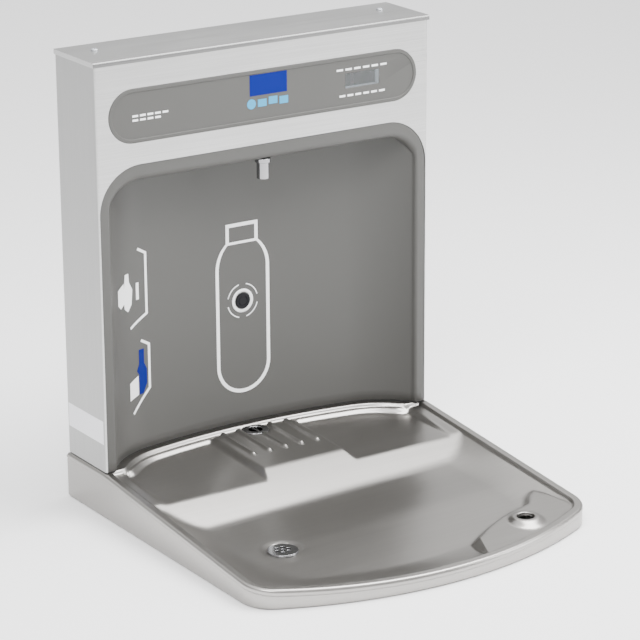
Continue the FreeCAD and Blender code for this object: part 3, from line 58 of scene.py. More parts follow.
# Plan of the basin, in millimetres.
HALF_X = 233.5
HALF_Y = 241.5
BOW_RADIUS = 478.0
CORNER_RADIUS = 42.5
BOW_Y = -HALF_Y + BOW_RADIUS
CORNER_X = HALF_X - CORNER_RADIUS
CORNER_Y = BOW_Y - math.sqrt((BOW_RADIUS - CORNER_RADIUS) ** 2 - CORNER_X ** 2)
CORNER_AIM = math.atan2(BOW_Y - CORNER_Y, CORNER_X)
BUBBLER = (145.0, -174.0)
BUBBLER_HOLE = 11.0
BOWL_DRAIN = (-133.0, -84.0)
DECK_DRAIN = (0.0, 186.0)
PAD_OUTLINE = ((50, -262), (59, -215), (70, -187), (90, -174), (116, -160), (146, -149), (176, -142),
               (191, -123), (201, -116), (209, -128), (216, -162), (226, -200), (226, -262))

# Section of the pan: its heights, margins and flanks. A slope is (height, rise for each millimetre
# towards the rear, y where it has that height).
DECK_TOP = 56.6
RIM_START_Y = 149.1
RIM_FALL = 0.096
RIM_TURN = 4.0
RIM_WIDTH = 10.0
RIM_STEP = 4.5
RECESS_BACK_Y = 153.1
RECESS_FLANK = 3.0
DISH_DEPTH = 11.6
DISH_TILT = 0.014
DISH_REAR_EXTRA = 6.0
DISH_REAR_SPAN = 100.0
DISH_MARGIN = 12.0
DISH_SWEEP = 50.0
DISH_CURVE = 1.7
SHELF_SLOPE = (42.0, 0.044, 58.0)
DECK_SLOPE = (51.0, 0.036, 78.0)
RAMP_SLOPE = (42.0, 0.48, 58.0)
TONGUE_HALF = 65.0
TONGUE_FLANK = 9.0
RIB_COUNT = 5
RIB_PITCH = 22.8
RIB_END_Y = 118.0
RIB_HEIGHT = 3.5
RIB_HALF = 4.4
RIB_FLANK = 2.6
WELL_HALF = 207.5
WELL_MARGIN = 16.0
WELL_FLANK = 6.5
PAD_MARGIN = 1.0
PAD_FALL = 1.3
BOSS_RADIUS = 15.5
BOSS_HEIGHT = 5.0
BOSS_FLANK = 6.5
# For each drain: place, hole radius, height and radius of its pressed seat, width of the seat's flank.
DRAINS = ((BOWL_DRAIN, 15.5, 15.0, 27.0, 8.0), (DECK_DRAIN, 14.0, 53.53, 20.0, 2.4))
# How widely neighbouring surfaces run into each other.
BLEND = {"plan": 40.0, "well": 6.0, "ramp": 1.1, "dish": 2.6, "pad": 1.6, "boss": 1.2, "recess": 5.0}
# The grid's rows follow the alcove's wall by up to BEND_LIMIT, growing and fading between these y values.
BEND_LIMIT = 44.0
BEND_ROWS = (96.0, 190.0, 208.0, HALF_Y)
BEND_SHARES = (0.0, 1.0, 1.0, 0.0)
HOLE_SNAP = 0.9

# The alcove; its back and side arcs are (centre x, centre y, radius).
NICHE_HALF = 217.0
NICHE_FRONT_Y = 20.0
NICHE_TOP = 405.0
NICHE_CORNER = 45.0
NICHE_BACK = (0.0, -594.0, 806.0)
NICHE_SIDE = (124.2, 90.8, 110.0)
FOOT_Z = 57.6
SENSOR_Z = 214.0
PANEL_Y = 149.6
LIP_SIDE_DEPTH = 5.0
BROW_START_Z = 330.0
BROW_SPAN = 75.0
OPENING_HALF = 227.7
OPENING_TOP = 425.2
OPENING_RADIUS = 55.3
# Print round the sensor: inner and outer radius, and where its arcs start and how far they sweep, in degrees.
SENSOR_RING = (10.9, 15.0)
SENSOR_ARC = (20.6, 22.0)
ARC_STARTS = (14.0, 104.0, 194.0, 284.0)
ARC_SWEEP = 62.0
PRINT_STANDOFF = 0.5

# In metres: the thickness of a print, and how near points are merged.
PRINT_THICKNESS = 0.0003
MERGE_DISTANCE = 2e-6

# The studio, in metres and watts: name, place, aim, size and power of each light.
LIGHTS = (
    ("Overhead Softbox", (0.65, -0.30, 1.75), (0, -0.05, 0.05), (1.3, 1.3), 66.0),
    ("Left Softbox", (-1.3, -1.2, 2.2), (0, 0, 0.25), (1.2, 1.0), 54.0),
    ("Right Fill", (2.2, -1.6, 1.0), (0, 0, 0.3), (1.0, 1.4), 32.0),
)
FLOOR_HALF = 40.0
# The sky's brightness, and its greys as (height from 0 below to 1 above, grey).
SKY_STRENGTH = 2.1
SKY_STOPS = ((0.10, 0.32), (0.50, 0.52), (0.80, 1.0))
# The camera's place, its three axes, and the shift of its picture.
CAMERA_PLACE = (-1.7805, -2.6842, 1.2882)
CAMERA_RIGHT = (0.82755, -0.56140, -0.00101)
CAMERA_UP = (0.18431, 0.26999, 0.94506)
CAMERA_BACK = (-0.53028, -0.78227, 0.32690)
CAMERA_SHIFT = (-0.0724, 0.0908)

INNER_FINISHES = {
    "zinc_steel": ["back_plate", "tower_base_plate", "tower_bolts", "tower_bolt_nuts", "back_plate_screws",
                   "board_screws", "power_supply_screws", "valve_bracket_screws", "valve_bracket",
                   "valve_plunger", "coil_nut"],
    "black_rubber": ["tower_gasket", "tube_grommet", "deck_drain_washer", "bowl_drain_washer"],
    "board_green": ["control_board"],
    "dark_plastic": ["program_switch", "sensor_housing", "sensor_nut", "power_supply", "valve_coil",
                     "bowl_drain_nut", "deck_drain_nut"],
    "red_plastic": ["program_button"],
    "white_plastic": ["valve_body", "nozzle_nut", "inlet_tube", "outlet_tube"],
    "brass": ["nozzle_coupling", "inlet_coupling", "valve_bonnet"],
    "lead_black": ["sensor_lead", "valve_lead", "power_lead"],
}


# ---------------------------------------------------------------- user settings
def length_setting(label, words, value):
    return bpy.props.FloatProperty(name=label, description=words, default=value, subtype="DISTANCE",
                                   unit="LENGTH")


class FountainSizes(bpy.types.PropertyGroup):
    rolled_edge: length_setting("Rolled edge", "Radius of the basin's outer edge", 0.0035)
    hem_set_back: length_setting("Skirt set-back", "How far the skirt sits under the edge", 0.0005)
    pan_sheet: length_setting("Pan sheet", "Thickness of the basin's sheet", 0.0012)
    shell_wall: length_setting("Alcove wall", "Thickness of the moulded alcove", 0.0028)
    sheet_bend: length_setting("Sheet edge break", "Softening of cut and bent sheet edges", 0.0005)
    brow_depth: length_setting("Brow depth", "How far the alcove's top lip rolls back", 0.009)
    camera_lens: bpy.props.FloatProperty(
        name="Lens", description="Focal length of the studio camera, in millimetres", default=164.03,
        min=20.0, max=400.0)


def colour_setting(label, words, value):
    return bpy.props.FloatVectorProperty(name=label, description=words, subtype="COLOR", size=4,
                                         default=value, min=0.0, max=1.0)


class FountainColours(bpy.types.PropertyGroup):
    basin_steel: colour_setting("Basin steel", "Satin steel of the basin", (0.36, 0.348, 0.333, 1))
    tower_steel: colour_setting("Tower steel", "Brushed steel of the tower", (0.54, 0.54, 0.535, 1))
    grey_plastic: colour_setting("Grey moulding", "Alcove and display surround", (0.074, 0.073, 0.069, 1))
    white_print: colour_setting("White print", "Screen print on the mouldings", (0.95, 0.96, 0.96, 1))
    blue_print: colour_setting("Blue print", "Blue screen print", (0.001, 0.008, 0.16, 1))
    cyan_print: colour_setting("Cyan print", "Cyan screen print", (0.05, 0.30, 0.52, 1))
    display: colour_setting("Display", "Resting liquid crystal display", (0.40, 0.47, 0.52, 1))
    floor: colour_setting("Floor", "Studio floor", (0.98, 0.98, 0.985, 1))


def sizes():
    return bpy.context.scene.fountain_sizes


def colours():
    return bpy.context.scene.fountain_colours


# ---------------------------------------------------------------- node groups and materials
def socket(group, name, in_out, kind, value=None):
    made = group.interface.new_socket(name=name, in_out=in_out, socket_type=kind)
    if value is not None:
        made.default_value = value
    return made


def link(tree, source, target):
    tree.links.new(source, target)


def add_node(tree, kind, values=None, **settings):
    node = tree.nodes.new(kind)
    for key, value in settings.items():
        setattr(node, key, value)
    for key, value in (values or {}).items():
        node.inputs[key].default_value = value
    return node


def brushed_grain_group():
    """Fine parallel scratches along one axis, with slow cloudy changes of tone."""
    if "Brushed Grain" in bpy.data.node_groups:
        return bpy.data.node_groups["Brushed Grain"]
    group = bpy.data.node_groups.new("Brushed Grain", "ShaderNodeTree")
    socket(group, "Stretch", "INPUT", "NodeSocketVector", (6.0, 900.0, 900.0))
    socket(group, "Base", "INPUT", "NodeSocketColor", (0.6, 0.6, 0.6, 1))
    socket(group, "Contrast", "INPUT", "NodeSocketFloat", 0.12)
    socket(group, "Roughness", "INPUT", "NodeSocketFloat", 0.3)
    socket(group, "Bump", "INPUT", "NodeSocketFloat", 0.1)
    socket(group, "Color", "OUTPUT", "NodeSocketColor")
    socket(group, "Roughness", "OUTPUT", "NodeSocketFloat")
    socket(group, "Normal", "OUTPUT", "NodeSocketVector")
    given = group.nodes.new("NodeGroupInput")
    result = group.nodes.new("NodeGroupOutput")
    place = group.nodes.new("ShaderNodeTexCoord")
    stretch = add_node(group, "ShaderNodeVectorMath", operation="MULTIPLY")
    link(group, place.outputs["Object"], stretch.inputs[0])
    link(group, given.outputs["Stretch"], stretch.inputs[1])
    grain = add_node(group, "ShaderNodeTexNoise", {"Scale": 1.0, "Detail": 4.0, "Roughness": 0.65})
    link(group, stretch.outputs[0], grain.inputs["Vector"])
    cloud = add_node(group, "ShaderNodeTexNoise", {"Scale": 9.0, "Detail": 3.0, "Roughness": 0.5})
    link(group, place.outputs["Object"], cloud.inputs["Vector"])
    both = add_node(group, "ShaderNodeMath", {1: 0.35}, operation="MULTIPLY_ADD")
    link(group, cloud.outputs["Fac"], both.inputs[0])
    link(group, grain.outputs["Fac"], both.inputs[2])
    spread = add_node(group, "ShaderNodeMapRange",
                      {"From Min": 0.35, "From Max": 1.0, "To Min": -1.0, "To Max": 1.0})
    link(group, both.outputs[0], spread.inputs["Value"])
    amount = add_node(group, "ShaderNodeMath", operation="MULTIPLY")
    link(group, spread.outputs[0], amount.inputs[0])
    link(group, given.outputs["Contrast"], amount.inputs[1])
    gain = add_node(group, "ShaderNodeMath", {1: 1.0}, operation="ADD")
    link(group, amount.outputs[0], gain.inputs[0])
    tint = add_node(group, "ShaderNodeVectorMath", operation="SCALE")
    link(group, given.outputs["Base"], tint.inputs[0])
    link(group, gain.outputs[0], tint.inputs["Scale"])
    link(group, tint.outputs[0], result.inputs["Color"])
    rough = add_node(group, "ShaderNodeMath", {1: 0.5}, operation="MULTIPLY_ADD")
    link(group, amount.outputs[0], rough.inputs[0])
    link(group, given.outputs["Roughness"], rough.inputs[2])
    link(group, rough.outputs[0], result.inputs["Roughness"])
    bump = add_node(group, "ShaderNodeBump", {"Distance": 0.0002})
    link(group, grain.outputs["Fac"], bump.inputs["Height"])
    link(group, given.outputs["Bump"], bump.inputs["Strength"])
    link(group, bump.outputs[0], result.inputs["Normal"])
    return group


def moulded_texture_group():
    """The fine pebbled texture of a moulded plastic, with faint smears and dust in the tone."""
    if "Moulded Texture" in bpy.data.node_groups:
        return bpy.data.node_groups["Moulded Texture"]
    group = bpy.data.node_groups.new("Moulded Texture", "ShaderNodeTree")
    socket(group, "Base", "INPUT", "NodeSocketColor", (0.3, 0.3, 0.3, 1))
    socket(group, "Grain Scale", "INPUT", "NodeSocketFloat", 1500.0)
    socket(group, "Bump", "INPUT", "NodeSocketFloat", 0.2)
    socket(group, "Roughness", "INPUT", "NodeSocketFloat", 0.5)
    socket(group, "Smear", "INPUT", "NodeSocketFloat", 0.08)
    socket(group, "Color", "OUTPUT", "NodeSocketColor")
    socket(group, "Roughness", "OUTPUT", "NodeSocketFloat")
    socket(group, "Normal", "OUTPUT", "NodeSocketVector")
    given = group.nodes.new("NodeGroupInput")
    result = group.nodes.new("NodeGroupOutput")
    place = group.nodes.new("ShaderNodeTexCoord")
    pebble = add_node(group, "ShaderNodeTexNoise", {"Detail": 2.0, "Roughness": 0.6})
    link(group, place.outputs["Object"], pebble.inputs["Vector"])
    link(group, given.outputs["Grain Scale"], pebble.inputs["Scale"])
    bump = add_node(group, "ShaderNodeBump", {"Distance": 0.00015})
    link(group, pebble.outputs["Fac"], bump.inputs["Height"])
    link(group, given.outputs["Bump"], bump.inputs["Strength"])
    link(group, bump.outputs[0], result.inputs["Normal"])
    smear = add_node(group, "ShaderNodeTexNoise", {"Scale": 7.0, "Detail": 5.0, "Roughness": 0.6})
    link(group, place.outputs["Object"], smear.inputs["Vector"])
    centred = add_node(group, "ShaderNodeMath", {1: 0.5}, operation="SUBTRACT")
    link(group, smear.outputs["Fac"], centred.inputs[0])
    amount = add_node(group, "ShaderNodeMath", operation="MULTIPLY")
    link(group, centred.outputs[0], amount.inputs[0])
    link(group, given.outputs["Smear"], amount.inputs[1])
    gain = add_node(group, "ShaderNodeMath", {1: 1.0}, operation="ADD")
    link(group, amount.outputs[0], gain.inputs[0])
    tint = add_node(group, "ShaderNodeVectorMath", operation="SCALE")
    link(group, given.outputs["Base"], tint.inputs[0])
    link(group, gain.outputs[0], tint.inputs["Scale"])
    link(group, tint.outputs[0], result.inputs["Color"])
    rough = add_node(group, "ShaderNodeMath", {1: 1.5}, operation="MULTIPLY_ADD")
    link(group, amount.outputs[0], rough.inputs[0])
    link(group, given.outputs["Roughness"], rough.inputs[2])
    link(group, rough.outputs[0], result.inputs["Roughness"])
    return group


def material(name, group, inputs, shader):
    """A Principled material fed by one of the shared groups; `shader` holds its constant sockets."""
    if name in bpy.data.materials:
        return bpy.data.materials[name]
    made = bpy.data.materials.new(name)
    made.use_nodes = True
    tree = made.node_tree
    surface = tree.nodes["Principled BSDF"]
    for key, value in shader.items():
        surface.inputs[key].default_value = value
    source = tree.nodes.new("ShaderNodeGroup")
    source.node_tree = group
    for key, value in inputs.items():
        source.inputs[key].default_value = value
    link(tree, source.outputs["Color"], surface.inputs["Base Color"])
    link(tree, source.outputs["Roughness"], surface.inputs["Roughness"])
    link(tree, source.outputs["Normal"], surface.inputs["Normal"])
    return made


def steel(name, base, stretch, contrast, roughness, bump):
    inputs = {"Base": base, "Stretch": stretch, "Contrast": contrast, "Roughness": roughness, "Bump": bump}
    return material(name, brushed_grain_group(), inputs, {"Metallic": 1.0})


def moulding(name, base, roughness, bump, grain, smear, specular=0.5):
    inputs = {"Base": base, "Roughness": roughness, "Bump": bump, "Grain Scale": grain, "Smear": smear}
    return material(name, moulded_texture_group(), inputs, {"Metallic": 0.0, "Specular IOR Level": specular})


def shaded(tone, share):
    return tuple(value * share for value in tone[:3]) + (1.0,)


def finish(slot):
    """The finish of one of the record's material slots, or of a part of one."""
    tone = colours()
    bend_shade_tone, side_shade_tone = shaded(tone.tower_steel, 0.4), shaded(tone.tower_steel, 0.74)
    # Name, colour, stretch of the grain, contrast, roughness, bump.
    metals = {
        "stainless_basin": ("Basin Steel", tone.basin_steel, (5.0, 260.0, 260.0), 0.05, 0.30, 0.02),
        "stainless_tower": ("Tower Steel", tone.tower_steel, (5.0, 700.0, 700.0), 0.16, 0.33, 0.12),
        # Darker copy of the tower steel: painted shade on the cover's front bend.
        "stainless_bend": ("Cover Bend Steel Painted Shade", bend_shade_tone, (5.0, 420.0, 420.0), 0.08, 0.4, 0.05),
        # Darker copy of the tower steel: painted shade on the wrapper's sides; its grain runs upright.
        "stainless_side": ("Tower Side Steel Painted Shade", side_shade_tone, (420.0, 420.0, 6.0), 0.08, 0.38, 0.06),
        "zinc_steel": ("Zinc Steel", (0.55, 0.57, 0.6, 1), (60.0, 60.0, 60.0), 0.18, 0.42, 0.05),
        "brass": ("Machined Brass", (0.62, 0.44, 0.16, 1), (900.0, 900.0, 200.0), 0.08, 0.3, 0.05),
        "chrome": ("Polished Chrome", (0.34, 0.34, 0.35, 1), (200.0, 200.0, 200.0), 0.05, 0.10, 0.01),
    }
    if slot in metals:
        return steel(*metals[slot])
    # Name, colour, roughness, bump, scale of the grain, smear, specular level.
    mouldings = {
        "grey_plastic": ("Grey Moulding", tone.grey_plastic, 0.48, 0.16, 1400.0, 0.10, 0.4),
        "black_rubber": ("Black Rubber", (0.02, 0.02, 0.02, 1), 0.8, 0.4, 900.0, 0.3, 0.4),
        "white_print": ("White Print", tone.white_print, 0.45, 0.03, 2500.0, 0.05, 0.4),
        "blue_print": ("Blue Print", tone.blue_print, 0.4, 0.03, 2500.0, 0.12, 0.12),
        "cyan_print": ("Cyan Print", tone.cyan_print, 0.4, 0.03, 2500.0, 0.12, 0.12),
        "lcd_grey": ("Display Grey", tone.display, 0.3, 0.02, 2500.0, 0.10, 0.12),
        "board_green": ("Circuit Board", (0.02, 0.15, 0.06, 1), 0.4, 0.1, 700.0, 0.3, 0.4),
        "dark_plastic": ("Dark Plastic", (0.035, 0.035, 0.038, 1), 0.5, 0.2, 1200.0, 0.2, 0.4),
        "red_plastic": ("Red Cap", (0.45, 0.02, 0.015, 1), 0.3, 0.05, 1500.0, 0.1, 0.4),
        "lens_black": ("Black Lens", (0.006, 0.006, 0.008, 1), 0.12, 0.0, 1500.0, 0.0, 0.12),
        "white_plastic": ("White Acetal", (0.74, 0.74, 0.71, 1), 0.42, 0.08, 900.0, 0.08, 0.4),
        "lead_black": ("Lead Jacket", (0.015, 0.015, 0.015, 1), 0.5, 0.1, 1500.0, 0.2, 0.4),
        "label_pale": ("Blank Label", (0.80, 0.80, 0.83, 1), 0.35, 0.03, 2000.0, 0.06, 0.4),
    }
    return moulding(*mouldings[slot])


def clear_window_material():
    if "Clear Window" in bpy.data.materials:
        return bpy.data.materials["Clear Window"]
    made = bpy.data.materials.new("Clear Window")
    made.use_nodes = True
    tree = made.node_tree
    surface = tree.nodes["Principled BSDF"]
    surface.inputs["Base Color"].default_value = (0.85, 0.88, 0.9, 1)
    surface.inputs["Alpha"].default_value = 0.10
    surface.inputs["IOR"].default_value = 1.45
    place = tree.nodes.new("ShaderNodeTexCoord")
    haze = add_node(tree, "ShaderNodeTexNoise", {"Scale": 60.0, "Detail": 3.0})
    link(tree, place.outputs["Object"], haze.inputs["Vector"])
    span = add_node(tree, "ShaderNodeMapRange", {"To Min": 0.02, "To Max": 0.12})
    link(tree, haze.outputs["Fac"], span.inputs["Value"])
    link(tree, span.outputs[0], surface.inputs["Roughness"])
    return made


# ---------------------------------------------------------------- mesh helpers
def finish_piece(bm, name, slot, body="root", stands_for=(), sharp=40.0, paint=None):
    """Turns a millimetre mesh into a finished piece that rides on its body."""
    bmesh.ops.scale(bm, vec=(MM, MM, MM), verts=bm.verts)
    mesh = bpy.data.meshes.new(name)
    bm.to_mesh(mesh)
    bm.free()
    piece = bpy.data.objects.new(name, mesh)
    bpy.context.scene.collection.objects.link(piece)
    mesh.materials.append(paint or finish(slot))
    mesh.shade_smooth()
    mesh.set_sharp_from_angle(angle=math.radians(sharp))
    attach(piece, body)
    if stands_for:
        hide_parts(*stands_for)
    return piece


def sheet_thickness(piece, thickness):
    wall = piece.modifiers.new("Sheet", "SOLIDIFY")
    wall.thickness = thickness
    wall.offset = -1.0
    wall.use_even_offset = False


def refine(node, slot, edge=0.0004, angle=35.0, body="root", paint=None):
    """A merged copy of a CAD node with softened edges."""
    bm = bmesh.new()
    bm.from_mesh(NODES[node].data)
    bmesh.ops.remove_doubles(bm, verts=bm.verts, dist=MERGE_DISTANCE)
    bmesh.ops.dissolve_limit(bm, angle_limit=math.radians(0.4), verts=bm.verts, edges=bm.edges)
    bmesh.ops.scale(bm, vec=(1 / MM, 1 / MM, 1 / MM), verts=bm.verts)
    piece = finish_piece(bm, node + "_finished", slot, body, (node,), paint=paint)
    if edge:
        soft = piece.modifiers.new("Edge", "BEVEL")
        soft.width = edge
        soft.segments = 2
        soft.limit_method = "ANGLE"
        soft.angle_limit = math.radians(angle)
        soft.harden_normals = False
    return piece


def grow_edge(bm, edges, steps, place):
    """Extrudes an open edge loop once for each step; place(first position, step) gives the new position."""
    first = {v: v.co.copy() for e in edges for v in e.verts}
    for step in steps:
        grown = bmesh.ops.extrude_edge_only(bm, edges=edges)["geom"]
        verts = [g for g in grown if isinstance(g, bmesh.types.BMVert)]
        edges = [g for g in grown if isinstance(g, bmesh.types.BMEdge)]
        follow = {}
        for v in verts:
            before = next(e.other_vert(v) for e in v.link_edges if e.other_vert(v) in first)
            follow[v] = first[before]
        for v in verts:
            v.co = place(follow[v], step)
        first = follow
    return edges


# ---------------------------------------------------------------- the basin's surface
def ease(t):
    t = np.clip(t, 0.0, 1.0)
    return t * t * (3.0 - 2.0 * t)


def smooth_max(a, b, k):
    h = np.clip(0.5 + 0.5 * (a - b) / k, 0.0, 1.0)
    return b * (1 - h) + a * h + k * h * (1 - h)


def smooth_min(a, b, k):
    return -smooth_max(-a, -b, k)


def outline_inset(x, y):
    """How far each point lies inside the basin's outline."""
    ax = np.abs(x)
    bow = BOW_RADIUS - np.hypot(ax, y - BOW_Y)
    qx, qy = ax - CORNER_X, CORNER_Y - y
    in_corner = (qy > 0) & (qx > 0) & (np.arctan2(qy, qx) < CORNER_AIM)
    plain = np.minimum(np.minimum(HALF_X - ax, bow), HALF_Y - y)
    return np.where(in_corner, CORNER_RADIUS - np.hypot(qx, qy), plain)


def outline_heading(p):
    """The outward direction of the basin's outline next to a point; mitred at the two square rear corners."""
    side = 1.0 if p.x >= 0 else -1.0
    ax = abs(p.x)
    if abs((HALF_X - ax) - (HALF_Y - p.y)) < 0.05:
        return Vector((side, 1.0, 0.0))
    qx, qy = ax - CORNER_X, CORNER_Y - p.y
    if qy > 0 and qx > 0 and math.atan2(qy, qx) < CORNER_AIM:
        return Vector((side * qx, -qy, 0)).normalized()
    choices = [(HALF_X - ax, Vector((side, 0, 0))), (HALF_Y - p.y, Vector((0, 1, 0)))]
    if p.y < CORNER_Y:
        away = Vector((p.x, p.y - BOW_Y, 0))
        choices.append((BOW_RADIUS - away.length, away.normalized()))
    return min(choices, key=lambda c: c[0])[1]


def niche_inset(x, y):
    """How far each point lies inside the alcove's plan, which is carried straight forward in front."""
    ax = np.abs(x)
    back = NICHE_BACK[2] - np.hypot(ax, y - NICHE_BACK[1])
    qx, qy = ax - NICHE_SIDE[0], y - NICHE_SIDE[1]
    joint = math.atan2(NICHE_SIDE[1] - NICHE_BACK[1], NICHE_SIDE[0])
    on_side = (np.arctan2(qy, qx) < joint) & (qy > 0)
    side = NICHE_SIDE[2] - np.hypot(qx, qy)
    depth = np.where(on_side, side, back)
    return np.where(y < PANEL_Y, np.minimum(NICHE_HALF - ax, y - NICHE_FRONT_Y), depth)


def niche_wall_at(x):
    """Where the alcove's wall stands at each x."""
    ax = np.abs(x)
    back = NICHE_BACK[1] + np.sqrt(NICHE_BACK[2] ** 2 - ax ** 2)
    over = np.minimum(np.abs(ax - NICHE_SIDE[0]), NICHE_SIDE[2])
    side = NICHE_SIDE[1] + np.sqrt(NICHE_SIDE[2] ** 2 - over ** 2)
    joint_x = NICHE_SIDE[0] * NICHE_BACK[2] / (NICHE_BACK[2] - NICHE_SIDE[2])
    return np.where(ax > joint_x, side, back)


def polygon_inset(x, y, corners):
    """Signed distance into a polygon, positive inside."""
    nearest = np.full(x.shape, 1e9)
    inside = np.zeros(x.shape, bool)
    for (ax, ay), (bx, by) in zip(corners, corners[1:] + corners[:1]):
        dx, dy = bx - ax, by - ay
        t = np.clip(((x - ax) * dx + (y - ay) * dy) / (dx * dx + dy * dy), 0, 1)
        nearest = np.minimum(nearest, np.hypot(x - ax - t * dx, y - ay - t * dy))
        crosses = ((ay > y) != (by > y)) & (x < (bx - ax) * (y - ay) / ((by - ay) or 1e-9) + ax)
        inside ^= crosses
    return np.where(inside, nearest, -nearest)


def rim_height(y):
    ahead = RIM_START_Y - y
    return DECK_TOP - RIM_FALL * RIM_TURN * np.logaddexp(0.0, ahead / RIM_TURN)


def slope_height(slope, y):
    height, rise, start = slope
    return height + rise * (y - start)


def dish_height(x, y, ledge):
    """The bowl in front, swept up to the ledge at its sides and deeper towards the rear."""
    side = HALF_X - np.abs(x)
    bow = BOW_RADIUS - np.hypot(x, y - BOW_Y)
    sweep = np.clip((smooth_min(side, bow, BLEND["plan"]) - DISH_MARGIN) / DISH_SWEEP, 0.0, 1.0)
    depth = DISH_DEPTH - DISH_TILT * x + DISH_REAR_EXTRA * ease((y - BOWL_DRAIN[1]) / DISH_REAR_SPAN)
    return ledge - depth * (1.0 - (1.0 - sweep) ** DISH_CURVE)


def rear_height(x, y, ledge, niche):
    """The shelf under the alcove with its raised tongue and ribs, and the ramp down to the bowl."""
    shelf = slope_height(SHELF_SLOPE, y)
    deck = slope_height(DECK_SLOPE, y)
    bed = shelf + (deck - shelf) * ease((TONGUE_HALF - np.abs(x)) / TONGUE_FLANK)
    for k in range(RIB_COUNT):
        away = np.hypot(x - (k - RIB_COUNT // 2) * RIB_PITCH, np.maximum(RIB_END_Y - y, 0.0))
        bed = bed + RIB_HEIGHT * ease((RIB_HALF - away) / RIB_FLANK)
    front_well = np.minimum(WELL_HALF - np.abs(x), RECESS_BACK_Y - y)
    well = smooth_max(front_well, niche - WELL_MARGIN, BLEND["well"])
    rear = ledge + (bed - ledge) * ease(well / WELL_FLANK)
    return smooth_min(rear, slope_height(RAMP_SLOPE, y), BLEND["ramp"])


def pan_height(x, y):
    """The basin's upper surface."""
    rim = rim_height(y)
    ledge = rim - RIM_STEP
    inset = outline_inset(x, y)
    niche = niche_inset(x, y)
    inner = smooth_max(rear_height(x, y, ledge, niche), dish_height(x, y, ledge), BLEND["dish"])

    outside_pad = np.maximum(-polygon_inset(x, y, PAD_OUTLINE) - PAD_MARGIN, 0.0)
    inner = smooth_max(inner, ledge - PAD_FALL * outside_pad, BLEND["pad"])
    seat = DECK_TOP - RIM_FALL * (RIM_START_Y - BUBBLER[1]) - RIM_STEP
    outside_boss = np.maximum(np.hypot(x - BUBBLER[0], y - BUBBLER[1]) - BOSS_RADIUS, 0.0)
    boss = seat + BOSS_HEIGHT - (BOSS_HEIGHT / BOSS_FLANK) * outside_boss
    inner = smooth_max(inner, boss, BLEND["boss"])
    for place, _, height, radius, flank in DRAINS:
        away = np.hypot(x - place[0], y - place[1])
        inner = inner + (height - inner) * ease((radius - away) / flank)

    front_recess = np.minimum(inset - RIM_WIDTH, RECESS_BACK_Y - y)
    recess = smooth_max(front_recess, niche - RIM_WIDTH, BLEND["recess"])
    top = rim + (inner - rim) * ease(recess / RECESS_FLANK)
    roll = sizes().rolled_edge / MM
    return top - (roll - np.sqrt(roll ** 2 - (roll - np.clip(inset, 0.0, roll)) ** 2))


def spaced(spans):
    """Positions along a line; each span is (end, wanted step)."""
    marks = [spans[0][0]]
    for end, step in spans[1:]:
        count = max(1, round(abs(end - marks[-1]) / step))
        marks += list(np.linspace(marks[-1], end, count + 1)[1:])
    return np.array(marks)


def half_width_at(y):
    if y >= CORNER_Y:
        return HALF_X
    return CORNER_X + math.sqrt(CORNER_RADIUS ** 2 - (CORNER_Y - y) ** 2)


def front_edge_at(x):
    ax = abs(x)
    if ax <= CORNER_X + CORNER_RADIUS * math.cos(CORNER_AIM):
        return BOW_Y - math.sqrt(BOW_RADIUS ** 2 - ax ** 2)
    return CORNER_Y - math.sqrt(max(0.0, CORNER_RADIUS ** 2 - (ax - CORNER_X) ** 2))


